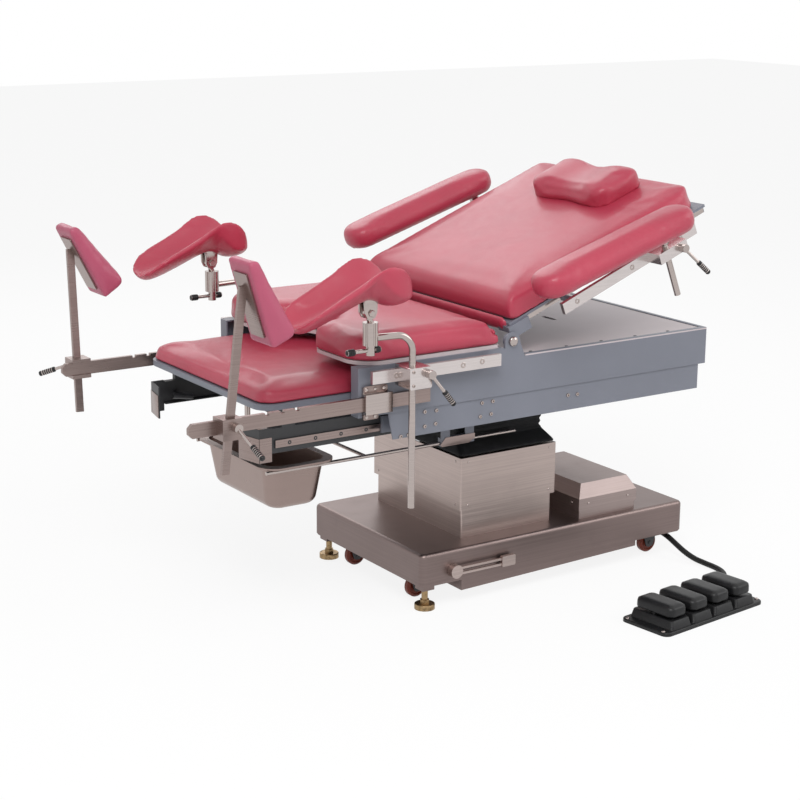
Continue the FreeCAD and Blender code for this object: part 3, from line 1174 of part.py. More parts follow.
def bar_x_profile():
    """Side outline of a support bar, its front corners cut off and its top notched."""
    low = BAR_LOW_Z
    top = BAR_LOW_Z + BAR_HEIGHT
    points = [(BAR_REAR_X, low), (BAR_FRONT_X + BAR_CHAMFER, low), (BAR_FRONT_X, low + BAR_CHAMFER),
              (BAR_FRONT_X, top - BAR_CHAMFER), (BAR_FRONT_X + BAR_CHAMFER, top)]
    for x in BAR_NOTCHES:
        points.extend([(x - BAR_NOTCH_WIDTH / 2, top), (x - BAR_NOTCH_WIDTH / 2, top - BAR_NOTCH_DEPTH),
                       (x + BAR_NOTCH_WIDTH / 2, top - BAR_NOTCH_DEPTH), (x + BAR_NOTCH_WIDTH / 2, top)])
    points.append((BAR_REAR_X, top))
    return points


def post_direction(side):
    """Unit vector up a foot post, which leans to the head end and outward."""
    return Vector(math.tan(math.radians(POST_LEAN_X)), side * math.tan(math.radians(POST_LEAN_OUT)), 1).normalize()


def post_frame(name):
    """The post's own axes: along it, across its wide face and through its thickness."""
    side = SIDES[name]
    up = post_direction(side)
    through = Vector(0, side, 0)
    through = (through - up * through.dot(up)).normalize()
    wide = through.cross(up).normalize()
    return Vector(POST_X[name], side * POST_Y, POST_Z), up, wide, through


def post_bar(name, z0, z1, extra=0.0):
    """The post's flat bar between two heights, grown by a clearance for its slot."""
    origin, up, wide, through = post_frame(name)
    low = origin + up * ((z0 - POST_Z) / up.z)
    high = origin + up * ((z1 - POST_Z) / up.z)
    w = wide * (POST_WIDTH / 2 + extra)
    t = through * (POST_THICKNESS / 2 + extra)
    corners = [low - w - t, low + w - t, low + w + t, low - w + t]
    return Part.Face(profile_wire(corners, 0.0)).extrude(high - low)


def support_bar(name):
    """Notched flat bar with the clamp that its foot post stands in."""
    side = SIDES[name]
    inner = side * BAR_INNER_Y
    outer = side * (BAR_INNER_Y + BAR_THICKNESS)
    bar = side_prism(bar_x_profile(), inner, outer)
    x = POST_X[name]
    low = BAR_LOW_Z - POST_CLAMP_LIP
    high = BAR_LOW_Z + BAR_HEIGHT + POST_CLAMP_LIP
    outside = block(x - POST_CLAMP_HALF, x + POST_CLAMP_HALF, outer - side, side * POST_CLAMP_OUTER_Y, low, high)
    top_lip = block(x - POST_CLAMP_HALF, x + POST_CLAMP_HALF, inner - side * 4, outer,
                    BAR_LOW_Z + BAR_HEIGHT - 1, high)
    low_lip = block(x - POST_CLAMP_HALF, x + POST_CLAMP_HALF, inner - side * 4, outer, low, BAR_LOW_Z + 1)
    slot = post_bar(name, low - 20, high + 20, POST_CLEARANCE)
    return cut(fuse([bar, outside, top_lip, low_lip]), [slot])


def pad_axes(name):
    """Centre of the foot pad's back face, with its up, across and forward directions."""
    side = SIDES[name]
    origin, up, wide, through = post_frame(name)
    top = origin + up * ((POST_TOP_Z[name] - POST_Z) / up.z)
    across = Vector(0, side, 0)
    pad_up = Vector(-math.sin(math.radians(PAD_PITCH[name])), 0, math.cos(math.radians(PAD_PITCH[name])))
    ahead = across.cross(pad_up)
    if ahead.x < 0:
        ahead = ahead * -1
    return top, pad_up, across, ahead


def foot_post(name):
    """Flat post with the steel plate that carries the foot pad."""
    bar = post_bar(name, POST_BOTTOM_Z[name], POST_TOP_Z[name])
    top, pad_up, across, ahead = pad_axes(name)
    centre = top - pad_up * (PAD_PLATE_LENGTH / 2 - 26) + ahead * POST_WELD_REACH
    half_u = pad_up * (PAD_PLATE_LENGTH / 2)
    half_w = across * (PAD_PLATE_WIDTH / 2)
    corners = [centre - half_u - half_w, centre + half_u - half_w, centre + half_u + half_w, centre - half_u + half_w]
    plate = Part.Face(profile_wire(corners, 3.0)).extrude(ahead * PAD_PLATE_THICKNESS)
    behind = Part.Face(profile_wire([c + ahead * PAD_PLATE_THICKNESS for c in
                                     [centre - half_u * 3 - half_w * 3, centre + half_u * 3 - half_w * 3,
                                      centre + half_u * 3 + half_w * 3, centre - half_u * 3 + half_w * 3]],
                                    0.0)).extrude(ahead * 200)
    return fuse([bar.cut(behind), plate])


def foot_pad(name):
    """Wedge-shaped pad, thin at the toes and thick under the heel."""
    top, pad_up, across, ahead = pad_axes(name)
    face = top - pad_up * (PAD_PLATE_LENGTH / 2 - 26) + ahead * (POST_WELD_REACH + PAD_PLATE_THICKNESS)
    high = face + pad_up * PAD_TOP_REACH
    low = face - pad_up * PAD_HEEL_REACH
    half_w = across * (PAD_WIDTH / 2)
    outline = [low - half_w, high - half_w, high + ahead * PAD_TOP_THICKNESS - half_w,
               low + ahead * PAD_HEEL_THICKNESS + pad_up * 6 - half_w]
    wedge = Part.Face(profile_wire(outline, [6, 6, 8, 14])).extrude(across * PAD_WIDTH)
    return wedge


def post_lever(name):
    side = SIDES[name]
    pivot = (POST_X[name] + 6, side * POST_CLAMP_OUTER_Y, POST_Z + 4)
    return clamp_lever(pivot, (0, side, 0), POST_LEVER_ARM[name])


def crutch_rod(side):
    """Rod bent over to the block that carries the saddle's neck."""
    bend = (CRUTCH_X, side * CRUTCH_Y, CRUTCH_TOP_Z)
    end = (CRUTCH_BLOCK_X, side * SADDLE_Y, CRUTCH_TOP_Z)
    tube, length = bent_rod([(CRUTCH_X, side * CRUTCH_Y, CRUTCH_BOTTOM_Z), bend, end], [CRUTCH_BEND_RADIUS],
                            CRUTCH_ROD_RADIUS)
    low = Vector(CRUTCH_BLOCK_X, side * SADDLE_Y, CRUTCH_BLOCK_LOW_Z)
    head = Part.makeCylinder(CRUTCH_BLOCK_RADIUS, CRUTCH_BLOCK_HIGH_Z - CRUTCH_BLOCK_LOW_Z, low)
    flutes = []
    for i in range(CRUTCH_FLUTES):
        angle = 2 * math.pi * (i + 0.5) / CRUTCH_FLUTES
        out = Vector(math.cos(angle), math.sin(angle), 0) * CRUTCH_BLOCK_RADIUS
        flutes.append(rod(low + out - Z_AXIS, low + out + Z_AXIS * (CRUTCH_BLOCK_HIGH_Z - CRUTCH_BLOCK_LOW_Z + 1),
                          CRUTCH_FLUTE_RADIUS))
    head = cut(head, flutes)
    neck = rod((CRUTCH_BLOCK_X, side * SADDLE_Y, CRUTCH_BLOCK_HIGH_Z - 1),
               (SADDLE_PIVOT_X, side * SADDLE_Y, SADDLE_PIVOT_Z), CRUTCH_NECK_RADIUS)
    tongue = rod((SADDLE_PIVOT_X, side * SADDLE_Y - SADDLE_EAR_GAP + 0.5, SADDLE_PIVOT_Z),
                 (SADDLE_PIVOT_X, side * SADDLE_Y + SADDLE_EAR_GAP - 0.5, SADDLE_PIVOT_Z), 10.0)
    bore = rod((SADDLE_PIVOT_X, side * SADDLE_Y - 20, SADDLE_PIVOT_Z), (SADDLE_PIVOT_X, side * SADDLE_Y + 20, SADDLE_PIVOT_Z),
               SADDLE_PIVOT_RADIUS + RUNNING_CLEARANCE)
    return cut(fuse([tube, head, neck, tongue]), [bore])


def t_handle(side):
    """T-bar on a hub below the crutch's block."""
    y = side * SADDLE_Y
    hub_top = CRUTCH_BLOCK_LOW_Z - LEVER_GAP
    hub = Part.makeCylinder(T_HUB_RADIUS, T_HUB_HEIGHT, Vector(CRUTCH_BLOCK_X, y, hub_top - T_HUB_HEIGHT))
    z = hub_top - T_HUB_HEIGHT / 2
    left = CRUTCH_BLOCK_X - T_BAR_LENGTH + 16
    right = CRUTCH_BLOCK_X + 18
    bar = rod((left, y, z), (right, y, z), T_BAR_RADIUS)
    caps = [rod((left - 4, y, z), (left + 12, y, z), T_CAP_RADIUS), rod((right - 8, y, z), (right + 4, y, z), T_CAP_RADIUS)]
    return fuse([hub, bar] + caps)


def crutch_saddle(side):
    """Knee trough: a curved wall, low at the foot end and turned down over a crest behind the knee."""
    y = side * SADDLE_Y
    wires = []
    for x, floor, rim, half, wall, flank in SADDLE_STATIONS:
        top_arc = [Vector(x, y - half + 5, floor + rim), Vector(x, y, floor), Vector(x, y + half - 5, floor + rim)]
        low_arc = [Vector(x, y + half, floor + rim - flank), Vector(x, y, floor - wall),
                   Vector(x, y - half, floor + rim - flank)]
        edges = [Part.Arc(top_arc[0], top_arc[1], top_arc[2]).toShape(),
                 Part.LineSegment(top_arc[2], low_arc[0]).toShape(),
                 Part.Arc(low_arc[0], low_arc[1], low_arc[2]).toShape(),
                 Part.LineSegment(low_arc[2], top_arc[0]).toShape()]
        wires.append(Part.Wire(edges))
    trough = Part.makeLoft(wires, True, False)
    ears = []
    for way in SIDES.values():
        y0 = y + way * SADDLE_EAR_GAP
        y1 = y + way * (SADDLE_EAR_GAP + SADDLE_EAR_THICKNESS)
        ears.append(side_prism([(SADDLE_PIVOT_X - 14, SADDLE_PIVOT_Z), (SADDLE_PIVOT_X + 14, SADDLE_PIVOT_Z),
                                (SADDLE_PIVOT_X + 16, SADDLE_PIVOT_Z + 36), (SADDLE_PIVOT_X - 16, SADDLE_PIVOT_Z + 30)],
                               y0, y1))
        ears.append(rod((SADDLE_PIVOT_X, y0, SADDLE_PIVOT_Z), (SADDLE_PIVOT_X, y1, SADDLE_PIVOT_Z), SADDLE_EAR_RADIUS))
    pin = rod((SADDLE_PIVOT_X, y - 17, SADDLE_PIVOT_Z), (SADDLE_PIVOT_X, y + 17, SADDLE_PIVOT_Z), SADDLE_PIVOT_RADIUS)
    return fuse([trough] + ears + [pin])


def crutch_lever(side):
    """Lever of the clamp screw that holds the crutch rod at its height."""
    pivot = (CRUTCH_LEVER_X, side * CLAMP_OUTER_Y, CRUTCH_LEVER_Z)
    ahead, out, down = CRUTCH_LEVER_ARM
    return clamp_lever(pivot, (0, side, 0), (ahead, side * out, down))


def arm_plate_shift():
    """How far square to the backrest the armrest's plate lies, above the rod."""
    share = (ARM_ALONG - ARM_PAD_START) / (ARM_PAD_END - ARM_PAD_START)
    middle = ARM_PAD_SHIFT_START + (ARM_PAD_SHIFT_END - ARM_PAD_SHIFT_START) * share
    return middle - ARM_PAD_THICKNESS / 2 - ARM_PLATE


def armrest_rod(side):
    """Round rod through the rail's clamp, that the armrest stands and turns on."""
    low = back_point(ARM_ALONG, ARM_ROD_LOW, side * ARM_ROD_Y)
    high = back_point(ARM_ALONG, arm_plate_shift() - 2, side * ARM_ROD_Y)
    return rod(low, high, ARM_ROD_RADIUS)


def pad_slab(side, length_cut, width, low, thickness, radius):
    """A flat slab on the armrest's own line, built flat and turned with the backrest."""
    run = ARM_PAD_END - ARM_PAD_START
    drop = ARM_PAD_SHIFT_END - ARM_PAD_SHIFT_START
    angle = math.degrees(math.atan2(drop, run))
    length = math.hypot(run, drop)
    slab = plan_prism(rectangle(length_cut, length - length_cut / 4, -width / 2, width / 2), low, low + thickness, radius)
    slab.Placement = Placement(Vector(ARM_PAD_START, side * ARM_PAD_Y, ARM_PAD_SHIFT_START),
                               Rotation(Y_AXIS, -angle))
    return laid_on_back(slab)


def armrest_pad(side):
    run = ARM_PAD_END - ARM_PAD_START
    drop = ARM_PAD_SHIFT_END - ARM_PAD_SHIFT_START
    angle = math.degrees(math.atan2(drop, run))
    length = math.hypot(run, drop)
    half = ARM_PAD_WIDTH / 2
    slab = plan_prism(rectangle(0, length, -half, half), -ARM_PAD_THICKNESS / 2, ARM_PAD_THICKNESS / 2, half - 1)
    slab = round_edges(slab, ARM_PAD_EDGE_RADIUS,
                       lambda edge: flat_at(edge, ARM_PAD_THICKNESS / 2) or flat_at(edge, -ARM_PAD_THICKNESS / 2))
    slab.Placement = Placement(Vector(ARM_PAD_START, side * ARM_PAD_Y, ARM_PAD_SHIFT_START),
                               Rotation(Y_AXIS, -angle))
    pad = laid_on_back(slab)
    plate = pad_slab(side, 120, 34, -ARM_PAD_THICKNESS / 2 - ARM_PLATE, ARM_PLATE, 6.0)
    socket_top = back_point(ARM_ALONG, arm_plate_shift() + 2, side * ARM_ROD_Y)
    socket_low = back_point(ARM_ALONG, arm_plate_shift() - 18, side * ARM_ROD_Y)
    socket = rod(socket_low, socket_top, ARM_ROD_RADIUS + 3)
    bore = rod(back_point(ARM_ALONG, arm_plate_shift() - 19, side * ARM_ROD_Y),
               back_point(ARM_ALONG, arm_plate_shift() - 1.7, side * ARM_ROD_Y), ARM_ROD_RADIUS + RUNNING_CLEARANCE)
    return Part.makeCompound([pad, cut(fuse([plate, socket]).cut(pad), [bore])])


def armrest_lever(side):
    """Lever of the clamp screw that holds the armrest's rod."""
    pivot = back_point(ARM_LEVER_ALONG, ARM_LEVER_SHIFT, side * ARM_CLAMP_OUTER_Y)
    along, out, square = ARM_LEVER_REACH
    arm = BACK_DIRECTION * along + BACK_NORMAL * square + Vector(0, side * out, 0)
    return clamp_lever(pivot, (0, side, 0), arm)


nodes["base_cover"] = base_cover()
nodes["base_chassis"] = base_chassis()
nodes["column_skirt_lower"] = lower_skirt()
nodes["column_skirt_middle"] = middle_skirt()
nodes["column_skirt_upper"] = skirt(SKIRT_HALF_X, SKIRT_HALF_Y, SKIRT_BOTTOM_Z, SKIRT_TOP_Z, SKIRT_LIP)
nodes["lift_column_outer"] = column_outer()
nodes["lift_column_inner"] = column_inner()
nodes["bellows"] = bellows()
nodes["control_box"] = control_box()
nodes["caster_forks"] = Part.makeCompound([caster_fork(centre) for centre in caster_places().values()])
for place, centre in caster_places().items():
    nodes["wheel_" + place] = wheel(centre)
for name, side in SIDES.items():
    nodes["levelling_foot_" + name] = levelling_foot(side)
nodes["brake_lever"] = brake_lever()
nodes["foot_switch_housing"] = switch_housing()
for i in range(PEDAL_COUNT):
    nodes["pedal_" + str(i + 1)] = pedal(i)
nodes["foot_switch_cable"] = cable()
nodes["table_frame"] = table_frame()
nodes["table_top_cover"] = table_top_cover()
nodes["seat_board"] = seat_board()
nodes["seat_cushion"] = seat_cushion()
nodes["seat_rails"] = seat_rails()
nodes["bar_brackets"] = bar_brackets()
nodes["basin_rods"] = basin_rods()
nodes["basin"] = basin()
nodes["leg_board"] = leg_board()
nodes["leg_cushion"] = leg_cushion()
nodes["leg_slides"] = leg_slides()
nodes["back_frame"] = back_frame()
nodes["back_cushion"] = back_cushion()
nodes["back_rails"] = back_rails()
nodes["pillow"] = pillow()
for name, side in SIDES.items():
    nodes["support_bar_" + name] = support_bar(name)
    nodes["foot_post_" + name] = foot_post(name)
    nodes["foot_pad_" + name] = foot_pad(name)
    nodes["post_lever_" + name] = post_lever(name)
    nodes["crutch_rod_" + name] = crutch_rod(side)
    nodes["crutch_saddle_" + name] = crutch_saddle(side)
    nodes["t_handle_" + name] = t_handle(side)
    nodes["crutch_lever_" + name] = crutch_lever(side)
    nodes["armrest_pad_" + name] = armrest_pad(side)
    nodes["armrest_rod_" + name] = armrest_rod(side)
    nodes["armrest_lever_" + name] = armrest_lever(side)

whole = FreeCAD.BoundBox()
for name, shape in nodes.items():
    if name != "foot_switch_cable":
        whole.add(shape.BoundBox)
shift = Vector(-whole.Center.x, -whole.Center.y, -whole.ZMin)
os.makedirs("parts", exist_ok=True)
for name, shape in nodes.items():
    moved = shape.copy()
    moved.translate(shift)
    moved.exportStep("parts/" + name + ".step")
print("nodes", len(nodes), "shift", [round(v, 3) for v in shift], "size", round(whole.XLength), round(whole.YLength),
      round(whole.ZLength))
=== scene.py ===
"""Dresses the examination bed: padded leatherette, brushed steel, paint, rubber and fasteners."""

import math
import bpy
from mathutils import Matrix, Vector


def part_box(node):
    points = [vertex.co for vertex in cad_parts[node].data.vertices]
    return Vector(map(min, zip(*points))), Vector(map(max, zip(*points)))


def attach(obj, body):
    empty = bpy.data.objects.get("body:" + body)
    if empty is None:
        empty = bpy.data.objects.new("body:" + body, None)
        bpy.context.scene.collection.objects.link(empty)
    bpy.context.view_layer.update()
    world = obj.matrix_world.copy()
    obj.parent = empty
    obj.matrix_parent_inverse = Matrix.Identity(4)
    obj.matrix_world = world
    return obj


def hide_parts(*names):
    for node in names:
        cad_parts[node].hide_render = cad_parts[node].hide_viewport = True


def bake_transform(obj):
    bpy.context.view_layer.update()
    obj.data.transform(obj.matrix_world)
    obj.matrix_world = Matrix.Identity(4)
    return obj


bl_info = {
    "name": "Examination bed",
    "version": (1, 0, 0),
    "blender": (4, 5, 0),
    "location": "3D View > Sidebar > Bed",
    "description": "Builds the upholstery, fittings, finishes and studio of the examination bed",
    "category": "Object",
}

import bmesh
import bpy
from bpy.props import FloatProperty, FloatVectorProperty, IntProperty, PointerProperty
from mathutils import Matrix, Vector, noise

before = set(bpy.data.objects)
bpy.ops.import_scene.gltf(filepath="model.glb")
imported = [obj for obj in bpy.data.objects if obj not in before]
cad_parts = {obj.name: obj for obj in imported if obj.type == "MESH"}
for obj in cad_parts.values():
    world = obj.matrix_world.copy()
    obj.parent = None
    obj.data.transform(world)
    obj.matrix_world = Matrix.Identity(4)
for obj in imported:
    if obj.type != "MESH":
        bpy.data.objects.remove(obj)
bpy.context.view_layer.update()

# The bed is measured in millimetres about its lift column: +X to the head end, -Y the near side.
SKIRT_LOW, SKIRT_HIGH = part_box("column_skirt_lower")
COLUMN = (SKIRT_LOW + SKIRT_HIGH) / 2
SIDES = {"near": -1.0, "far": 1.0}
HINGE_X, HINGE_Z, BACK_ANGLE = -85.0, 592.0, math.radians(21.5)
SWITCH_X, SWITCH_Y, SWITCH_TURN = 237.0, -531.0, math.radians(7.0)
CABLE_ROUTE = [
    (458.0, -148.0, 44.0), (457.0, -176.0, 43.5), (453.0, -205.0, 41.0), (449.0, -234.0, 34.0),
    (450.0, -264.0, 22.0), (456.0, -294.0, 11.0), (463.0, -326.0, 7.0), (464.0, -360.0, 6.8), (457.0, -391.0, 6.7),
    (440.0, -415.0, 6.7), (414.0, -430.0, 7.0), (386.0, -434.0, 9.5), (362.0, -439.0, 13.0),
    (345.0, -453.0, 16.0), (337.0, -470.0, 16.2)]
CABLE_DIAMETER = 13.0
PAD_PITCH = {"near": 16.5, "far": 27.0}


def spot(x, y, z):
    """A point given in millimetres about the lift column, in the frame's metres."""
    return Vector((COLUMN.x + x / 1000, COLUMN.y + y / 1000, z / 1000))


def back_spot(along, y, shift):
    """A point given along the backrest, across it and square to it."""
    x = HINGE_X + math.cos(BACK_ANGLE) * along - math.sin(BACK_ANGLE) * shift
    z = HINGE_Z + math.sin(BACK_ANGLE) * along + math.cos(BACK_ANGLE) * shift
    return spot(x, y, z)


def switch_spot(x, y, z):
    """A point given about the foot switch's own centre and turn."""
    c, s = math.cos(SWITCH_TURN), math.sin(SWITCH_TURN)
    return spot(SWITCH_X + c * x - s * y, SWITCH_Y + s * x + c * y, z)


class Term:
    """A value in a material. Arithmetic on it adds Math nodes."""

    def __init__(self, recipe, socket):
        self.recipe = recipe
        self.socket = socket

    def math(self, operation, *values):
        inputs = {i: v for i, v in enumerate(values)}
        return self.recipe.add("ShaderNodeMath", {"operation": operation}, inputs)

    def __add__(self, other):
        return self.math("ADD", self, other)

    def __radd__(self, other):
        return self.math("ADD", other, self)

    def __sub__(self, other):
        return self.math("SUBTRACT", self, other)

    def __rsub__(self, other):
        return self.math("SUBTRACT", other, self)

    def __mul__(self, other):
        return self.math("MULTIPLY", self, other)

    def __rmul__(self, other):
        return self.math("MULTIPLY", other, self)

    def __abs__(self):
        return self.math("ABSOLUTE", self)

    def sine(self):
        return self.math("SINE", self)

    def step(self, low, high):
        """0 below low, 1 above high, smooth between."""
        return self.recipe.add("ShaderNodeMapRange", {"interpolation_type": "SMOOTHSTEP"},
                               {"Value": self, "From Min": low, "From Max": high})


class Recipe:
    """The nodes of one material, or of the world when its tree is given."""

    def __init__(self, name, tree=None):
        if tree is None:
            self.material = bpy.data.materials.new(name)
            self.material.use_nodes = True
            tree = self.material.node_tree
        self.tree = tree
        self.tree.nodes.clear()

    def add(self, kind, settings=None, inputs=None, output=0):
        node = self.tree.nodes.new(kind)
        for key, value in (settings or {}).items():
            setattr(node, key, value)
        for key, value in (inputs or {}).items():
            if isinstance(value, Term):
                self.tree.links.new(value.socket, node.inputs[key])
            else:
                node.inputs[key].default_value = value
        return Term(self, node.outputs[output] if len(node.outputs) else None)

    def place(self, output="Object"):
        return self.add("ShaderNodeTexCoord", output=output)

    def stretched(self, scale, place=None):
        return self.add("ShaderNodeMapping", None, {"Vector": place or self.place(), "Scale": scale})

    def noise(self, scale, detail=3.0, place=None, rough=0.55):
        return self.add("ShaderNodeTexNoise", None,
                        {"Vector": place or self.place(), "Scale": scale, "Detail": detail, "Roughness": rough})

    def cells(self, scale, feature="DISTANCE_TO_EDGE", place=None):
        return self.add("ShaderNodeTexVoronoi", {"feature": feature}, {"Vector": place or self.place(), "Scale": scale})

    def blend(self, share, first, second):
        return self.add("ShaderNodeMix", {"data_type": "RGBA"}, {0: share, 6: first, 7: second}, 2)

    def parts(self, vector):
        node = self.add("ShaderNodeSeparateXYZ", None, {0: vector}).socket.node
        return [Term(self, out) for out in node.outputs]

    def bump(self, height, distance, strength=1.0, normal=None):
        inputs = {"Height": height, "Distance": distance, "Strength": strength}
        if normal:
            inputs["Normal"] = normal
        return self.add("ShaderNodeBump", None, inputs)

    def seen_rays(self):
        """1 for what the camera, a reflection or a refraction sees, 0 for light."""
        rays = self.add("ShaderNodeLightPath").socket.node
        camera, glossy, through = (Term(self, rays.outputs["Is %s Ray" % kind])
                                   for kind in ("Camera", "Glossy", "Transmission"))
        return camera + glossy + through

    def finish(self, sockets):
        shader = self.add("ShaderNodeBsdfPrincipled", None, sockets)
        self.add("ShaderNodeOutputMaterial", None, {"Surface": shader})
        return self.material


def shade(colour, share):
    """A colour made lighter or darker, with its alpha."""
    return tuple(min(1.0, c * share) for c in colour[:3]) + (1.0,)


def leatherette(name, colour, gloss=0.33):
    """Vinyl hide: fine pebble grain, broad soft unevenness, a thin clear top."""
    r = Recipe(name)
    drift = r.noise(9.0, 2.0)
    pebble = r.cells(1150.0)
    fine = r.noise(2600.0, 2.0)
    broad = r.noise(42.0, 3.0)
    tone = r.blend(drift.step(0.3, 0.7), shade(colour, 0.93), shade(colour, 1.05))
    tone = r.blend(pebble.step(0.0, 0.12), shade(colour, 0.84), tone)
    height = pebble.step(0.0, 0.22) * 0.6 + fine * 0.25 + broad * 0.8
    rough = gloss + (broad - 0.5) * 0.16 + (1.0 - pebble.step(0.0, 0.2)) * 0.08
    return r.finish({"Base Color": tone, "Roughness": rough,
                     "Normal": r.bump(height, 0.00016, 0.7), "Coat Weight": 0.25, "Coat Roughness": 0.14,
                     "Specular IOR Level": 0.42})


def brushed_steel(name, colour, rough=0.34, streak=420.0, contrast=0.10, polish=0.0):
    """Stainless sheet whose brush lines run level on upright faces and lengthwise on flat ones."""
    r = Recipe(name)
    up = abs(r.parts(r.place("Normal"))[2]).step(0.55, 0.8)
    level = r.noise(1.0, 3.0, r.stretched((3.0, 3.0, streak)))
    lengthwise = r.noise(1.0, 3.0, r.stretched((3.0, streak, 3.0)))
    line = level * (1.0 - up) + lengthwise * up
    cloud = r.noise(5.0, 3.0)
    smear = r.noise(16.0, 4.0)
    share = (line * 0.7 + cloud * 0.3).step(0.32, 0.68)
    tone = r.blend(share, shade(colour, 1.0 - contrast), shade(colour, 1.0 + contrast))
    tone = r.blend(smear.step(0.56, 0.74) * 0.3, tone, shade(colour, 0.86))
    return r.finish({"Base Color": tone, "Metallic": 1.0,
                     "Roughness": rough - polish + (line - 0.5) * 0.16 + (smear - 0.5) * 0.10,
                     "Normal": r.bump(line, 0.00003, 0.55)})


def sprayed_paint(name, colour, rough=0.42):
    """Satin powder coat with orange peel, faint dust and a little rubbing."""
    r = Recipe(name)
    peel = r.noise(650.0, 2.0)
    drift = r.noise(5.0, 3.0)
    rub = r.noise(70.0, 5.0)
    tone = r.blend(drift.step(0.3, 0.7), shade(colour, 0.95), shade(colour, 1.05))
    tone = r.blend(rub.step(0.62, 0.75) * 0.25, tone, shade(colour, 1.18))
    return r.finish({"Base Color": tone, "Roughness": rough + (drift - 0.5) * 0.12 + rub.step(0.6, 0.8) * 0.08,
                     "Normal": r.bump(peel, 0.00005, 0.6), "Coat Weight": 0.08, "Coat Roughness": 0.35})


def moulded(name, colour, rough=0.45, grain=1400.0, depth=0.00006):
    """Moulded plastic or rubber with a fine spark-eroded texture and handling marks."""
    r = Recipe(name)
    texture = r.noise(grain, 3.0)
    scuff = r.noise(60.0, 5.0)
    tone = r.blend(scuff.step(0.55, 0.75), shade(colour, 1.0), shade(colour, 1.35))
    return r.finish({"Base Color": tone, "Roughness": rough + (scuff - 0.5) * 0.2 + (texture - 0.5) * 0.1,
                     "Normal": r.bump(texture, depth, 0.8), "Specular IOR Level": 0.3})


def proofed_cloth(name, colour):
    """Rubber-coated woven cloth of the bellows."""
    r = Recipe(name)
    x, y, z = r.parts(r.place())
    thread = 2 * math.pi / 0.0011
    weave = (x * thread).sine() * (z * thread).sine() + (y * thread).sine() * 0.5
    dust = r.noise(30.0, 4.0)
    tone = r.blend(dust.step(0.5, 0.75), shade(colour, 1.0), shade(colour, 2.4))
    return r.finish({"Base Color": tone, "Roughness": 0.62 + (dust - 0.5) * 0.2,
                     "Normal": r.bump(weave * 0.5 + 0.5, 0.00012, 0.7), "Specular IOR Level": 0.3})


def turned_brass(name, colour):
    """Turned brass with tool rings and tarnish."""
    r = Recipe(name)
    rings = r.noise(1.0, 2.0, r.stretched((20.0, 20.0, 1600.0)))
    tarnish = r.noise(120.0, 5.0)
    tone = r.blend(tarnish.step(0.42, 0.68), shade(colour, 1.05), shade(colour, 0.55))
    return r.finish({"Base Color": tone, "Metallic": 1.0, "Roughness": 0.30 + tarnish * 0.22 + (rings - 0.5) * 0.1,
                     "Normal": r.bump(rings, 0.00004, 0.6)})


def anodised(name, colour):
    """Extruded and anodised aluminium, drawn along Z."""
    r = Recipe(name)
    drawn = r.noise(1.0, 2.0, r.stretched((300.0, 300.0, 2.0)))
    cloud = r.noise(8.0, 3.0)
    tone = r.blend(cloud.step(0.3, 0.7), shade(colour, 0.94), shade(colour, 1.04))
    return r.finish({"Base Color": tone, "Metallic": 1.0, "Roughness": 0.4 + (drawn - 0.5) * 0.15,
                     "Normal": r.bump(drawn, 0.00003, 0.5)})


MATERIALS = {}


def mesh_object(name, bm, smooth_angle=35.0):
    """An object at the origin from a bmesh, shaded smooth but for its sharp edges."""
    bmesh.ops.recalc_face_normals(bm, faces=bm.faces)
    mesh = bpy.data.meshes.new(name)
    bm.to_mesh(mesh)
    bm.free()
    piece = bpy.data.objects.new(name, mesh)
    bpy.context.scene.collection.objects.link(piece)
    mesh.shade_smooth()
    if smooth_angle:
        mesh.set_sharp_from_angle(angle=math.radians(smooth_angle))
    return piece


def settle(piece):
    """Turns a piece's modifiers into its plain mesh."""
    bpy.context.view_layer.update()
    graph = bpy.context.evaluated_depsgraph_get()
    mesh = bpy.data.meshes.new_from_object(piece.evaluated_get(graph))
    piece.modifiers.clear()
    piece.data = mesh
    return piece


def fit(piece, body, material, slot, *nodes):
    """Gives a piece its material, the CAD nodes it stands for and the body it rides on; the slot is not used."""
    piece.data.materials.clear()
    piece.data.materials.append(MATERIALS[material])
    if nodes:
        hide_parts(*nodes)
    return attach(piece, body)


def merged_copy(node):
    """A bmesh copy of a CAD node with its loose triangles merged."""
    bm = bmesh.new()
    bm.from_mesh(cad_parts[node].data)
    bmesh.ops.remove_doubles(bm, verts=bm.verts, dist=0.00002)
    return bm


def axes_for(axis):
    """Two directions square to an axis."""
    axis = Vector(axis).normalized()
    first = axis.orthogonal().normalized()
    return first, axis.cross(first).normalized()


def lathe(bm, origin, axis, profile, steps=28, start=0.0):
    """Turns (radius, height) pairs in millimetres about an axis, closed at both ends."""
    axis = Vector(axis).normalized()
    u, v = axes_for(axis)
    rings = []
    for radius, height in profile:
        centre = origin + axis * (height / 1000)
        if radius <= 0:
            rings.append([bm.verts.new(centre)])
            continue
        rings.append([bm.verts.new(centre + (u * math.cos(start + 2 * math.pi * k / steps)
                                             + v * math.sin(start + 2 * math.pi * k / steps)) * radius / 1000)
                      for k in range(steps)])
    for low, high in zip(rings, rings[1:]):
        for k in range(steps):
            after = (k + 1) % steps
            if len(low) == 1:
                bm.faces.new((low[0], high[k], high[after]))
            elif len(high) == 1:
                bm.faces.new((low[k], low[after], high[0]))
            else:
                bm.faces.new((low[k], low[after], high[after], high[k]))
    for ring in (rings[0], rings[-1]):
        if len(ring) > 1:
            bm.faces.new(ring)
    return bm


def round_bar(bm, start, end, radius, edge=1.0, steps=24):
    """A round bar with broken edges."""
    length = (end - start).length * 1000
    profile = [(0, 0), (radius - edge, 0), (radius, edge), (radius, length - edge), (radius - edge, length),
               (0, length)]
    return lathe(bm, start, end - start, profile, steps)


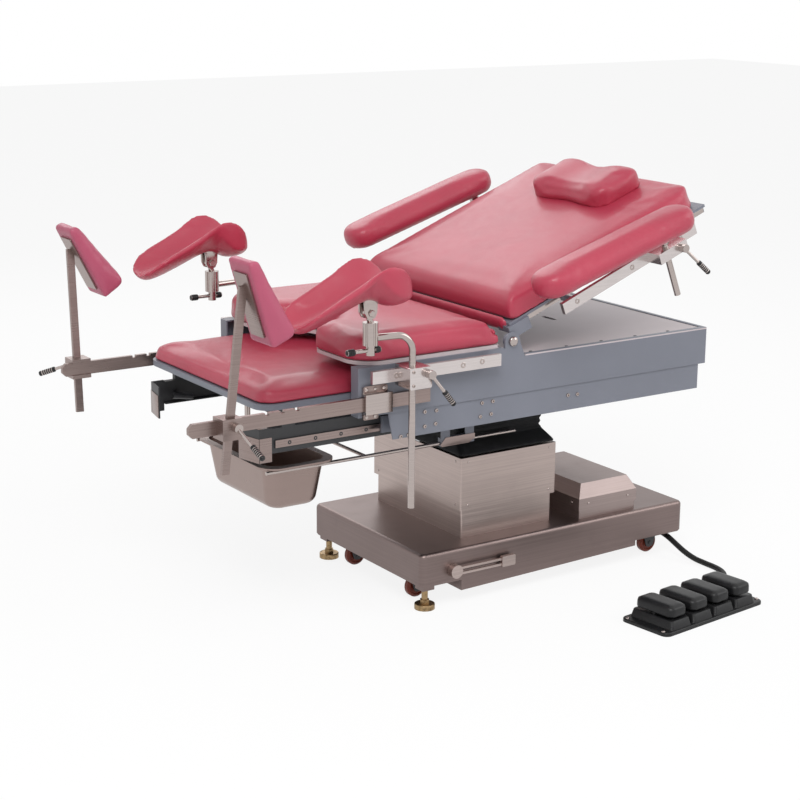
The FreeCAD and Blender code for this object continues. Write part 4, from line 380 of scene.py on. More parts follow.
def slab(bm, corners, direction, edge=0.8):
    """A flat outline, in order, pushed along a direction, with its edges broken."""
    before = set(bm.verts)
    base = [bm.verts.new(c) for c in corners]
    top = [bm.verts.new(c + direction) for c in corners]
    faces = [bm.faces.new(list(reversed(base))), bm.faces.new(top)]
    for k in range(len(base)):
        after = (k + 1) % len(base)
        faces.append(bm.faces.new((base[k], base[after], top[after], top[k])))
    if edge:
        edges = {e for f in faces for e in f.edges}
        bmesh.ops.bevel(bm, geom=list(edges), offset=edge / 1000, segments=2, profile=0.5, affect="EDGES",
                        clamp_overlap=True)
    return [v for v in bm.verts if v not in before]


def rounded_rectangle(half_x, half_y, radius, steps=6):
    """Corner-rounded rectangle about zero, as (x, y) pairs in order."""
    points = []
    for cx, cy, first in ((1, 1, 0), (-1, 1, 90), (-1, -1, 180), (1, -1, 270)):
        for k in range(steps + 1):
            a = math.radians(first + 90 * k / steps)
            points.append((cx * (half_x - radius) + radius * math.cos(a),
                           cy * (half_y - radius) + radius * math.sin(a)))
    return points


def walls(bm, rings):
    """Joins closed rings of the same count, open at both ends."""
    loops = [[bm.verts.new(p) for p in ring] for ring in rings]
    for low, high in zip(loops, loops[1:]):
        for k in range(len(low)):
            after = (k + 1) % len(low)
            bm.faces.new((low[k], low[after], high[after], high[k]))
    return loops


def loft(bm, rings):
    """Joins closed rings of the same count and caps both ends."""
    loops = walls(bm, rings)
    bm.faces.new(list(reversed(loops[0])))
    bm.faces.new(loops[-1])
    return bm


def inflate(piece, voxel, shrink, cap, held, pressure=4.0, stiffness=14.0):
    """Padded swelling: voxel skin, cloth pressure for 20 frames, and a cap on how far a point may go."""
    remesh = piece.modifiers.new("skin", "REMESH")
    remesh.mode = "VOXEL"
    remesh.voxel_size = voxel / 1000
    settle(piece)
    mesh = piece.data
    bm = bmesh.new()
    bm.from_mesh(mesh)
    bmesh.ops.smooth_vert(bm, verts=bm.verts, factor=0.5, use_axis_x=True, use_axis_y=True, use_axis_z=True)
    bm.normal_update()
    holds = [held(v.co, v.normal) for v in bm.verts]
    for v, hold in zip(bm.verts, holds):
        v.co -= v.normal * (shrink / 1000) * (1.0 - hold)
    bm.to_mesh(mesh)
    bm.free()
    start = [v.co.copy() for v in mesh.vertices]
    group = piece.vertex_groups.new(name="held")
    for i, hold in enumerate(holds):
        if hold > 0:
            group.add([i], hold, "REPLACE")
    cloth = piece.modifiers.new("cover", "CLOTH")
    cloth.settings.quality = 5
    cloth.settings.mass = 0.3
    cloth.settings.tension_stiffness = stiffness
    cloth.settings.compression_stiffness = stiffness
    cloth.settings.shear_stiffness = stiffness / 2
    cloth.settings.bending_stiffness = 0.5
    cloth.settings.use_pressure = True
    cloth.settings.uniform_pressure_force = pressure
    cloth.settings.vertex_group_mass = "held"
    cloth.settings.effector_weights.gravity = 0.0
    cloth.collision_settings.use_collision = False
    cloth.point_cache.frame_start = 1
    cloth.point_cache.frame_end = 20
    for number in range(1, 21):
        bpy.context.scene.frame_set(number)
    settle(piece)
    bpy.context.scene.frame_set(1)
    for v, origin in zip(piece.data.vertices, start):
        move = v.co - origin
        if move.length > cap / 1000:
            v.co = origin + move.normalized() * (cap / 1000)
    piece.vertex_groups.clear()
    return piece


def sculpt(piece, change):
    """Moves each vertex by what change(point, normal) returns, in metres."""
    normals = [v.normal.copy() for v in piece.data.vertices]
    for v, normal in zip(piece.data.vertices, normals):
        v.co += change(v.co, normal)
    piece.data.update()


def relax(piece, rounds=2, factor=0.5):
    bm = bmesh.new()
    bm.from_mesh(piece.data)
    for _ in range(rounds):
        bmesh.ops.smooth_vert(bm, verts=bm.verts, factor=factor, use_axis_x=True, use_axis_y=True, use_axis_z=True)
    bm.to_mesh(piece.data)
    bm.free()
    piece.data.shade_smooth()


def subdivide_once(piece):
    finer = piece.modifiers.new("finer", "SUBSURF")
    finer.levels = 1
    finer.render_levels = 1
    settle(piece)
    piece.data.shade_smooth()


def upholster(piece, rounds, body, material, slot, node):
    """Smooths a padded cover and puts it in place of its CAD node."""
    relax(piece, rounds)
    subdivide_once(piece)
    fit(piece, body, material, slot, node)


def bell(value, middle, width):
    """1 at the middle, falling to 0 a width away."""
    t = abs(value - middle) / width
    return 0.0 if t >= 1 else (1 - t * t) ** 2


def from_spot(point):
    """Column millimetres of a point in the frame."""
    return (point.x - COLUMN.x) * 1000, (point.y - COLUMN.y) * 1000, point.z * 1000


def from_back(point):
    """Millimetres along, across and square to the backrest."""
    x, y, z = from_spot(point)
    dx, dz = x - HINGE_X, z - HINGE_Z
    return (dx * math.cos(BACK_ANGLE) + dz * math.sin(BACK_ANGLE), y,
            -dx * math.sin(BACK_ANGLE) + dz * math.cos(BACK_ANGLE))


class BedSizes(bpy.types.PropertyGroup):
    """Sizes that a user would change, in metres."""

    swell: FloatProperty(name="Cushion swell", description="How far the seat and back covers may swell",
                         default=0.0038, min=0.0, max=0.03, subtype="DISTANCE", unit="LENGTH")
    pad_swell: FloatProperty(name="Pad swell", description="How far the small pads may swell",
                             default=0.005, min=0.0, max=0.02, subtype="DISTANCE", unit="LENGTH")
    screw_radius: FloatProperty(name="Screw radius", description="Head radius of the panel screws",
                                default=0.0042, min=0.001, max=0.02, subtype="DISTANCE", unit="LENGTH")
    bellows_folds: IntProperty(name="Bellows folds", description="Pleats between the column and the table",
                               default=6, min=2, max=12)


class BedColours(bpy.types.PropertyGroup):
    """Colours of the finishes."""

    hide: FloatVectorProperty(name="Upholstery", description="Leatherette of the cushions", size=4,
                              default=(0.48, 0.042, 0.082, 1.0), min=0.0, max=1.0, subtype="COLOR")
    pad_hide: FloatVectorProperty(name="Foot pads", description="Leatherette of the foot pads", size=4,
                                  default=(0.47, 0.085, 0.155, 1.0), min=0.0, max=1.0, subtype="COLOR")
    paint: FloatVectorProperty(name="Frame paint", description="Blue-grey coat of the table frame", size=4,
                               default=(0.19, 0.20, 0.24, 1.0), min=0.0, max=1.0, subtype="COLOR")
    steel: FloatVectorProperty(name="Stainless", description="Brushed sheet and bars", size=4,
                               default=(0.46, 0.378, 0.352, 1.0), min=0.0, max=1.0, subtype="COLOR")


def add_finishes():
    colours = bpy.context.scene.bed_colours
    steel = tuple(colours.steel)
    MATERIALS.update({
        "hide": leatherette("pink_leatherette", tuple(colours.hide)),
        "pad_hide": leatherette("rose_leatherette", tuple(colours.pad_hide), 0.5),
        "paint": sprayed_paint("frame_paint", tuple(colours.paint)),
        "deck": sprayed_paint("deck_paint", (0.60, 0.53, 0.54, 1.0), 0.5),
        "steel": brushed_steel("stainless", steel),
        # The base cover and chassis get a darker copy of the stainless: painted shade standing in for the dark floor
        # and surroundings that their sides reflect.
        "painted_shade_cover_steel": brushed_steel("stainless_cover", (0.215, 0.165, 0.156, 1.0), 0.38, 520.0, 0.08),
        "box_steel": brushed_steel("stainless_box", (0.34, 0.275, 0.262, 1.0), 0.42, 300.0, 0.08),
        "bar_steel": brushed_steel("stainless_bar", (0.31, 0.242, 0.225, 1.0), 0.30, 900.0, 0.10),
        "basin_steel": brushed_steel("stainless_basin", (0.33, 0.252, 0.23, 1.0), 0.30, 40.0, 0.03),
        "rail_steel": brushed_steel("polished_steel_rail", (0.64, 0.585, 0.575, 1.0), 0.26, 900.0, 0.05, 0.04),
        "bright": brushed_steel("polished_steel", (0.46, 0.40, 0.378, 1.0), 0.2, 900.0, 0.05, 0.04),
        "dark_steel": sprayed_paint("dark_steel", (0.035, 0.035, 0.038, 1.0), 0.5),
        "aluminium": anodised("lift_aluminium", (0.62, 0.62, 0.63, 1.0)),
        "plastic": moulded("black_plastic", (0.012, 0.012, 0.013, 1.0), 0.36),
        "rubber": moulded("black_rubber", (0.010, 0.010, 0.010, 1.0), 0.55, 900.0),
        "bellows": proofed_cloth("bellows_cloth", (0.010, 0.010, 0.011, 1.0)),
        "brass": turned_brass("brass", (0.36, 0.25, 0.135, 1.0)),
        "resin": moulded("wheel_resin", (0.20, 0.035, 0.018, 1.0), 0.4, 700.0),
    })


NODE_FINISH = {
    "base_cover": "painted_shade_cover_steel", "base_chassis": "painted_shade_cover_steel", "column_skirt_lower": "steel",
    "column_skirt_middle": "steel", "column_skirt_upper": "steel", "lift_column_outer": "aluminium",
    "lift_column_inner": "aluminium", "control_box": "box_steel", "caster_forks": "dark_steel",
    "brake_lever": "steel", "foot_switch_housing": "plastic", "table_frame": "paint", "table_top_cover": "deck",
    "seat_board": "deck", "seat_rails": "rail_steel", "bar_brackets": "bright", "basin_rods": "bright",
    "basin": "basin_steel", "leg_board": "paint", "leg_slides": "dark_steel", "back_frame": "paint",
    "back_rails": "rail_steel",
}
NODE_START_FINISH = {
    "wheel": "resin", "levelling": "brass", "pedal": "plastic", "support_bar": "bar_steel", "foot_post": "bar_steel",
    "post_lever": "bright", "crutch_rod": "bright", "crutch_lever": "bright", "t_handle": "bright",
    "armrest_rod": "bright", "armrest_lever": "bright",
}


def finish_nodes():
    """Gives each CAD node its finish, by its own name or by how its name starts."""
    for name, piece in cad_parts.items():
        finish = NODE_FINISH.get(name)
        for start, value in NODE_START_FINISH.items():
            if name.startswith(start):
                finish = value
        if finish:
            piece.data.materials.clear()
            piece.data.materials.append(MATERIALS[finish])
            for polygon in piece.data.polygons:
                polygon.material_index = 0


class BED_OT_finishes(bpy.types.Operator):
    """Makes the materials and gives them to the CAD nodes"""

    bl_idname = "bed.finishes"
    bl_label = "Finishes"

    def execute(self, context):
        add_finishes()
        finish_nodes()
        return {"FINISHED"}


class BED_OT_cable(bpy.types.Operator):
    """Lays the foot switch's cable"""

    bl_idname = "bed.cable"
    bl_label = "Foot switch cable"

    def execute(self, context):
        curve = bpy.data.curves.new("switch_cable", "CURVE")
        curve.dimensions = "3D"
        curve.bevel_depth = CABLE_DIAMETER / 2000
        curve.bevel_resolution = 6
        curve.resolution_u = 16
        curve.use_fill_caps = True
        line = curve.splines.new("NURBS")
        line.points.add(len(CABLE_ROUTE) - 1)
        for point, place in zip(line.points, CABLE_ROUTE):
            point.co = (*spot(*place), 1.0)
        line.order_u = 3
        line.use_endpoint_u = True
        cable = bpy.data.objects.new("switch_cable", curve)
        context.scene.collection.objects.link(cable)
        curve.materials.append(MATERIALS["rubber"])
        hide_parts("foot_switch_cable")
        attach(cable, "base")
        gland = bmesh.new()
        start, after = spot(*CABLE_ROUTE[0]), spot(*CABLE_ROUTE[1])
        lathe(gland, start, after - start,
              [(6.6, -4), (10.5, -4), (10.5, 2), (9.5, 3), (9.5, 12), (8.6, 14), (8.6, 17), (8.0, 18), (8.0, 22),
               (7.4, 23), (7.4, 27), (6.7, 30)], 32)
        boot = bmesh.new()
        end, before = spot(*CABLE_ROUTE[-1]), spot(*CABLE_ROUTE[-2])
        lathe(boot, end, before - end,
              [(6.6, -3), (10.4, -3), (10.0, 2), (9.0, 4), (9.0, 7), (8.2, 8), (8.2, 11), (7.6, 12), (7.6, 15),
               (6.7, 18)], 32)
        gland_piece = fit(mesh_object("cable_gland", gland), "base", "plastic", "black_plastic")
        boot_piece = fit(mesh_object("cable_boot", boot), "base", "plastic", "black_plastic")
        spot(*CABLE_ROUTE[0])
        return {"FINISHED"}


def held_below(level, reach, height=lambda point: point.z * 1000):
    """Holds a cushion's underside, and lets go of it smoothly above."""
    def hold(point, normal):
        return max(0.0, min(1.0, 1.0 - (height(point) - level) / reach))
    return hold


class BED_OT_seat(bpy.types.Operator):
    """Seat cushion with its recess and the soft roll at its rear"""

    bl_idname = "bed.seat"
    bl_label = "Seat cushion"

    def execute(self, context):
        piece = mesh_object("seat_upholstery", merged_copy("seat_cushion"), 0)
        swell = context.scene.bed_sizes.swell * 1000
        inflate(piece, 7.5, 2.0, swell, held_below(588.5, 14.0))

        def shape(point, normal):
            x, y, z = from_spot(point)
            crown = 3.0 * max(0.0, normal.z) * (1 - (y / 290) ** 2) * bell(x, -300, 260)
            return Vector((0, 0, crown / 1000))
        sculpt(piece, shape)
        upholster(piece, 1, "table", "hide", "pink_leatherette", "seat_cushion")
        roll = bmesh.new()
        rings = []
        for k in range(61):
            y = -284.0 + 568.0 * k / 60
            end = 1.0 - 0.75 * max(0.0, (abs(y) - 276.0) / 8.0) ** 2
            pucker = 0.5 * math.sin(k * 2.1) + 0.4 * math.sin(k * 0.9 + 1.0)
            rings.append([spot(-127.5 + 5.8 * end * math.cos(a), y, 613.5 + (6.5 + pucker * 0.5) * end * math.sin(a))
                          for a in (2 * math.pi * j / 20 for j in range(20))])
        loft(roll, rings)
        roll_piece = mesh_object("seat_roll", roll, 0)
        subdivide_once(roll_piece)
        fit(roll_piece, "table", "hide", "pink_leatherette")
        return {"FINISHED"}


class BED_OT_leg(bpy.types.Operator):
    """Leg cushion with its shallow dish and wrinkles"""

    bl_idname = "bed.leg"
    bl_label = "Leg cushion"

    def execute(self, context):
        piece = mesh_object("leg_upholstery", merged_copy("leg_cushion"), 0)
        swell = context.scene.bed_sizes.swell * 1000
        inflate(piece, 7.5, 2.0, swell, held_below(522.5, 12.0))
        corners = [from_spot(v.co) for v in piece.data.vertices]
        first_x, side_y = min(c[0] for c in corners), max(c[1] for c in corners)
        low_z, high_z = min(c[2] for c in corners), max(c[2] for c in corners)

        def shape(point, normal):
            x, y, z = from_spot(point)
            top = max(0.0, normal.z) ** 2
            dish = -4.0 * top * bell(x, -500, 170) * bell(y, 0, 230)
            fold = math.sin((x + 0.5 * abs(y)) / 9.0) * bell(x, -470, 70) * bell(y, -40, 190)
            inside = min(x - first_x, side_y - abs(y))
            roll = -13.0 * max(0.0, 1.0 - inside / 62.0) ** 2 * max(0.0, min(1.0, (z - low_z) / (high_z - low_z)))
            return Vector((0, 0, (dish + 0.5 * top * fold + roll) / 1000))
        sculpt(piece, shape)
        upholster(piece, 1, "leg_section", "hide", "pink_leatherette", "leg_cushion")
        return {"FINISHED"}


class BED_OT_back(bpy.types.Operator):
    """Back cushion, crowned between its rounded edges"""

    bl_idname = "bed.back"
    bl_label = "Back cushion"

    def execute(self, context):
        piece = mesh_object("back_upholstery", merged_copy("back_cushion"), 0)
        swell = context.scene.bed_sizes.swell * 1000
        inflate(piece, 9.0, 2.0, swell, held_below(34.5, 14.0, lambda point: from_back(point)[2]))

        def shape(point, normal):
            along, y, shift = from_back(point)
            if shift < 60:
                return Vector()
            crown = 3.0 * (1 - (y / 285) ** 2) * bell(along, 300, 330)
            crease = 0.5 * math.sin(along / 11.0 + y / 60.0) * bell(along, 70, 60) * bell(y, 0, 230)
            return (back_spot(0, 0, 1) - back_spot(0, 0, 0)).normalized() * ((crown + crease) / 1000)
        sculpt(piece, shape)
        upholster(piece, 1, "backrest", "hide", "pink_leatherette", "back_cushion")
        lip = bmesh.new()
        rings = []
        for k in range(57):
            y = -266.0 + 532.0 * k / 56
            end = 1.0 - 0.6 * max(0.0, (abs(y) - 258.0) / 8.0) ** 2
            pucker = 0.45 * math.sin(k * 1.7) + 0.35 * math.sin(k * 0.8 + 2.0)
            ring = []
            for j in range(13):
                a = math.pi * (j / 12 - 0.5)
                ring.append(back_spot(13.0 - (8.2 + pucker) * end * math.cos(a), y, 28.5 + 15.5 * end * math.sin(a)))
            rings.append(ring)
        loft(lip, rings)
        lip_piece = mesh_object("back_lip", lip, 60)
        fit(lip_piece, "backrest", "hide", "pink_leatherette")
        return {"FINISHED"}


class BED_OT_pillow(bpy.types.Operator):
    """Head pillow, waisted and dished in the middle, with its strap"""

    bl_idname = "bed.pillow"
    bl_label = "Head pillow"

    def execute(self, context):
        piece = mesh_object("head_pillow", merged_copy("pillow"), 0)
        inflate(piece, 5.5, 2.0, 4.0, held_below(94.0, 8.0, lambda point: from_back(point)[2]))

        def shape(point, normal):
            along, y, shift = from_back(point)
            across = (y + 30) / 131.0
            rise = max(0.0, min(1.0, (shift - 94) / 45))
            dip = -8.0 * bell(across, 0.0, 0.62) * rise
            waist = 7.0 * bell(across, 0.0, 0.55) * (along - 470) / 70 * -1
            edge = max(0.0, abs(along - 470) / 70 - 0.55) / 0.45
            droop = -6.0 * rise * edge * abs(across)
            return (back_spot(waist, 0, dip + droop) - back_spot(0, 0, 0))
        sculpt(piece, shape)
        upholster(piece, 2, "pillow", "hide", "pink_leatherette", "pillow")
        strap = bmesh.new()
        line = [(440, 95.0), (535, 94.4), (562, 91.0), (580, 84.0), (589.5, 74.0), (591.5, 60.0), (591.5, 44.0)]
        rings = []
        for along, shift in line:
            rings.append([back_spot(along, y, shift + t) for y, t in ((-48, 0), (-12, 0), (-12, 1.6), (-48, 1.6))])
        loft(strap, rings)
        strap_piece = mesh_object("pillow_strap", strap, 60)
        fit(strap_piece, "backrest", "bellows", "black_rubber")
        return {"FINISHED"}


class BED_OT_armrests(bpy.types.Operator):
    """Armrest pads with the plate and socket under each"""

    bl_idname = "bed.armrests"
    bl_label = "Armrests"

    def execute(self, context):
        swell = context.scene.bed_sizes.pad_swell * 1000
        direction = (back_spot(0, 0, 1) - back_spot(0, 0, 0)).normalized()
        for name, side in SIDES.items():
            node = "armrest_pad_" + name
            first, last = back_spot(44.0, side * 366, 114.0), back_spot(471.0, side * 366, 84.0)
            line = (last - first).normalized()
            up = line.cross(Vector((0, 1, 0))).normalized() * -1
            if up.z < 0:
                up.negate()
            length = (last - first).length * 1000
            pad = bmesh.new()
            rings = []
            for t, inset in ((-27.5, 20), (-26, 11), (-20, 3.5), (-10, 0.0), (8, 0.0), (18, 3.5), (24.5, 11),
                             (27.5, 21)):
                ring = []
                for x, y in rounded_rectangle(length / 2 - inset, 48 - inset, 44 - inset, 10):
                    ring.append(first + line * ((length / 2 + x) / 1000) + Vector((0, y / 1000, 0)) + up * (t / 1000))
                rings.append(ring)
            loft(pad, rings)
            piece = mesh_object("arm_pad_" + name, pad, 0)
            over = held_below(-27.5, 6.0, lambda point, first=first, up=up: (point - first).dot(up) * 1000)
            inflate(piece, 5.5, 2.0, swell, over)
            upholster(piece, 1, node, "hide", "pink_leatherette", node)
            bracket = bmesh.new()
            corners = [first + line * (x / 1000) + Vector((0, y / 1000, 0)) - up * 0.0275
                       for x, y in ((122, -17), (396, -17), (396, 17), (122, 17))]
            slab(bracket, corners, -up * 0.004, 0.8)
            top = back_spot(403.0, side * 345, 64.5)
            lathe(bracket, top - direction * 0.026, direction,
                  [(7.2, 0), (11, 0), (12, 1.5), (12, 20), (10.5, 26), (7.2, 26)], 32)
            fit(mesh_object("arm_bracket_" + name, bracket), node, "bright", "polished_steel")
        return {"FINISHED"}


def pad_axes(name):
    """A foot pad's centre of its back face, with its up, across and forward directions."""
    side = SIDES[name]
    low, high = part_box("foot_pad_" + name)
    pitch = math.radians(PAD_PITCH[name])
    up = Vector((-math.sin(pitch), 0, math.cos(pitch)))
    across = Vector((0, side, 0))
    ahead = across.cross(up)
    if ahead.x < 0:
        ahead.negate()
    return (low + high) / 2, up, across, ahead


class BED_OT_foot_pads(bpy.types.Operator):
    """Foot pads, thin at the toes and thick under the heel"""

    bl_idname = "bed.foot_pads"
    bl_label = "Foot pads"

    def execute(self, context):
        swell = context.scene.bed_sizes.pad_swell * 1000
        for name in SIDES:
            node = "foot_pad_" + name
            centre, up, across, ahead = pad_axes(name)
            piece = mesh_object("foot_cushion_" + name, merged_copy(node), 0)
            back = min((v.co - centre).dot(ahead) for v in piece.data.vertices)

            def depth(point, back=back, centre=centre, ahead=ahead):
                return ((point - centre).dot(ahead) - back) * 1000
            inflate(piece, 4.0, 1.6, swell * 0.8, held_below(0.0, 6.0, depth))
            upholster(piece, 4, "foot_post_" + name, "pad_hide", "rose_leatherette", node)
        return {"FINISHED"}


# Along x: floor, rim height, half width, wall and flank, in millimetres.
SADDLE_SECTIONS = [
    (-648, 690.5, 4, 26, 6, 4), (-645, 689.5, 9, 37, 8.5, 5),
    (-638, 688, 18, 48, 11, 6), (-630, 689, 25, 54.5, 12.5, 7),
    (-620, 691.5, 31, 59.5, 13, 8), (-608, 695, 34.5, 62.5, 13, 8),
    (-596, 699, 37, 64, 13, 8), (-578, 706, 39, 65, 13, 8),
    (-560, 713, 40, 65, 13, 8), (-540, 722, 41, 65, 13.5, 9),
    (-520, 731, 42, 65, 14, 10), (-502, 738.5, 46, 65, 15, 12),
    (-484, 745, 50, 65, 16, 14), (-472, 749.5, 50, 65, 21, 25),
    (-462, 753, 48, 65, 28, 40), (-452, 755, 46, 64.5, 35, 50),
    (-442, 756, 43, 64, 42, 58), (-430, 754, 41, 63, 42, 58),
    (-420, 750, 38, 61, 38, 54), (-411, 745, 34, 58, 31, 44),
    (-404, 738, 30, 54, 24, 34), (-399, 733, 25, 49, 16, 23),
    (-395.5, 730, 18, 42, 8, 12),
]


class BED_OT_saddles(bpy.types.Operator):
    """Knee crutch troughs with the fork that carries each"""

    bl_idname = "bed.saddles"
    bl_label = "Knee crutches"

    def execute(self, context):
        for name, side in SIDES.items():
            y = side * 331.0
            shell = bmesh.new()
            rings = []
            steps = 26
            for x, floor, rim, half, wall, flank in SADDLE_SECTIONS:
                ring = []
                for k in range(steps + 1):
                    a = math.pi * k / steps
                    reach = math.cos(a)
                    lift = abs(reach) ** 2.2
                    ring.append(spot(x, y + (half - 6) * reach, floor + rim * lift))
                ring.extend([spot(x, y - half + 1.5, floor + rim + 1), spot(x, y - half, floor + rim - flank)])
                for k in range(1, steps):
                    a = math.pi * k / steps
                    reach = -math.cos(a)
                    lift = abs(reach) ** 2.2
                    ring.append(spot(x, y + half * reach, floor - wall + (rim + wall - flank) * lift))
                ring.extend([spot(x, y + half, floor + rim - flank), spot(x, y + half - 1.5, floor + rim + 1)])
                rings.append(ring)
            loft(shell, rings)
            piece = mesh_object("knee_trough_" + name, shell, 0)
            inflate(piece, 4.0, 0.6, 2.5, lambda point, normal: 0.0, 2.0, 30.0)
            node = "crutch_saddle_" + name
            upholster(piece, 3, node, "hide", "pink_leatherette", node)
            fork = bmesh.new()
            for way in SIDES.values():
                y0 = y + way * 8.2
                corners = [spot(-486, y0, 702), spot(-481, y0, 692), spot(-472, y0, 689), spot(-463, y0, 692),
                           spot(-458, y0, 702), spot(-456, y0, 736), spot(-488, y0, 732)]
                slab(fork, corners, Vector((0, way * 0.0046, 0)), 0.7)
                round_bar(fork, spot(-472, y0 + way * 4.6, 702), spot(-472, y0 + way * 9.5, 702), 7.5, 1.2, 6)
            round_bar(fork, spot(-472, y - 14, 702), spot(-472, y + 14, 702), 4.9, 0.5)
            fit(mesh_object("knee_fork_" + name, fork), "crutch_saddle_" + name, "bright", "polished_steel")
        return {"FINISHED"}


class BED_OT_bellows(bpy.types.Operator):
    """Pleated sleeve between the skirts and the table"""

    bl_idname = "bed.bellows"
    bl_label = "Bellows"

    def execute(self, context):
        folds = context.scene.bed_sizes.bellows_folds
        profile = [(129.0, 172.5, 317.4), (128.0, 170.0, 321.0), (120.0, 147.0, 336.0), (117.0, 139.0, 342.0)]
        low, high = 344.0, 420.6
        for k in range(folds * 2 + 1):
            share = k / (folds * 2)
            tuck = 7.0 if k % 2 else 0.0
            z = low + (high - low) * share
            profile.append((118 + 7 * share - tuck, 140 + 2 * share - tuck, z))
        bm = bmesh.new()
        rings = []
        for half_x, half_y, z in profile:
            rings.append([spot(x, y, z) for x, y in rounded_rectangle(half_x, half_y, 9.0, 5)])
        walls(bm, rings)
        piece = mesh_object("column_bellows", bm, 60)
        wall = piece.modifiers.new("wall", "SOLIDIFY")
        wall.thickness = 0.0014
        wall.offset = -1.0
        finer = piece.modifiers.new("finer", "SUBSURF")
        finer.levels = 1
        finer.render_levels = 1
        settle(piece)

        def sag(point, normal):
            return normal * (noise.noise(point * 22.0) * 0.0012)
        sculpt(piece, sag)
        piece.data.shade_smooth()
        piece.data.materials.append(MATERIALS["bellows"])
        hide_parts("bellows")
        spot(0, 0, 330)
        spot(0, 0, 414)
        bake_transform(piece)
        return {"FINISHED"}


def facing_plate(bm, corners, side, y, thickness=1.0):
    """A thin upright sheet on a side of the bed, from (x, z) corners in millimetres."""
    slab(bm, [spot(x, side * y, z) for x, z in corners], Vector((0, side * thickness / 1000, 0)), thickness * 0.35)


def deck_piece(name, x0, x1, y0, y1, z, thickness, edge, finish, slot):
    """A flat strip on the rear deck."""
    bm = bmesh.new()
    slab(bm, [spot(x, y, z) for x, y in ((x0, y0), (x1, y0), (x1, y1), (x0, y1))], Vector((0, 0, thickness)), edge)
    fit(mesh_object(name, bm), "table", finish, slot)


def cut_corners(x0, x1, z0, z1, cut, steps=4):
    """A rectangle in side view whose corners are arcs."""
    middle_x, middle_z = (x0 + x1) / 2, (z0 + z1) / 2
    return [(middle_x + a, middle_z + b) for a, b in rounded_rectangle((x1 - x0) / 2, (z1 - z0) / 2, cut, steps)]


class BED_OT_plates(bpy.types.Operator):
    """Stainless strips, end plates and flanges that lie on the painted parts"""

    bl_idname = "bed.plates"
    bl_label = "Steel plates"

    def execute(self, context):
        for name, side in SIDES.items():
            slide = bmesh.new()
            facing_plate(slide, cut_corners(-632, -242, 430.2, 445.8, 1.5), side, 243.05, 0.9)
            facing_plate(slide, [(-666.5, 402.5), (-638.5, 402.5), (-638.5, 452.5), (-666.5, 452.5)], side, 240.05, 0.9)
            front = [spot(x, side * y, z) for x, y, z in ((-667.2, 240.7, 402.5), (-679.6, 180.4, 402.5),
                                                          (-679.6, 180.4, 452.5), (-667.2, 240.7, 452.5))]
            slab(slide, front, Vector((-0.0009, side * 0.0002, 0)), 0.3)
            fit(mesh_object("slide_plates_" + name, slide), "leg_section", "bar_steel", "stainless")
            flange = bmesh.new()
            facing_plate(flange, cut_corners(-459.5, -402.5, 528.5, 543.5, 5.0), side, 295.45, 0.9)
            facing_plate(flange, cut_corners(-459.5, -424.0, 473.5, 486.0, 4.0), side, 289.5, 6.8)
            hanger = [(-176, 348), (-172, 343), (-100, 343), (-84, 352), (-84, 363), (-162, 363)]
            facing_plate(flange, hanger, side, 158.6, 1.2)
            fit(mesh_object("flange_plates_" + name, flange), "table", "bar_steel", "stainless")
            deck_piece("deck_lip_" + name, -49.5, 465, side * 278.6, side * 289.4, 560.02, 0.0012, 0.4,
                       "paint", "frame_paint")
            deck_piece("deck_joint_" + name, -49.5, 452, side * 277.0, side * 278.7, 560.01, 0.0003, 0.0,
                       "dark_steel", "dark_steel")
            edge = bmesh.new()
            corners = [back_spot(along, side * 270.1, shift)
                       for along, shift in ((62, 14.5), (588, 14.5), (588, 27.5), (62, 27.5))]
            slab(edge, corners, Vector((0, side * 0.0009, 0)), 0.3)
            fit(mesh_object("back_strip_" + name, edge), "backrest", "bright", "polished_steel")
        deck_piece("deck_lip_rear", 453.6, 465, -278.5, 278.5, 560.02, 0.0012, 0.4, "paint", "frame_paint")
        deck_piece("deck_joint_rear", 452, 453.7, -278.7, 278.7, 560.01, 0.0003, 0.0, "dark_steel", "dark_steel")
        return {"FINISHED"}


class BED_OT_pedals(bpy.types.Operator):
    """Soft-cornered rocker caps of the foot switch"""

    bl_idname = "bed.pedals"
    bl_label = "Pedal caps"

    def execute(self, context):
        for i in range(4):
            middle = (i - 1.5) * 70.0
            rings = []
            for z, inset in ((31.0, 1.6), (32.0, 0.4), (34.5, 0.0), (45.0, 0.3), (50.0, 1.8), (53.0, 4.4), (55.0, 8.0),
                             (55.8, 12.0), (56.0, 17.0)):
                ring = []
                for x, y in rounded_rectangle(27.0 - inset, 52.0 - inset, max(4.0, 14.0 - inset * 0.6), 6):
                    crown = -2.2 * (y / 52.0) ** 2 if z > 50 else 0.0
                    ring.append(switch_spot(middle + x, y, z + crown))
                rings.append(ring)
            bm = loft(bmesh.new(), rings)
            cap = mesh_object("pedal_cap_%d" % (i + 1), bm, 50)
            fit(cap, "pedal_%d" % (i + 1), "plastic", "black_plastic", "pedal_%d" % (i + 1))
            rings = []
            for z, half_x, half_y in ((8.0, 32.0, 60.0), (9.0, 31.5, 59.5), (24.5, 28.6, 55.5), (25.4, 27.6, 54.5)):
                rings.append([switch_spot(middle + x, y, z) for x, y in rounded_rectangle(half_x, half_y, 7.0, 5)])
            box = mesh_object("pedal_box_%d" % (i + 1), loft(bmesh.new(), rings), 40)
            fit(box, "base", "plastic", "black_plastic")
        return {"FINISHED"}


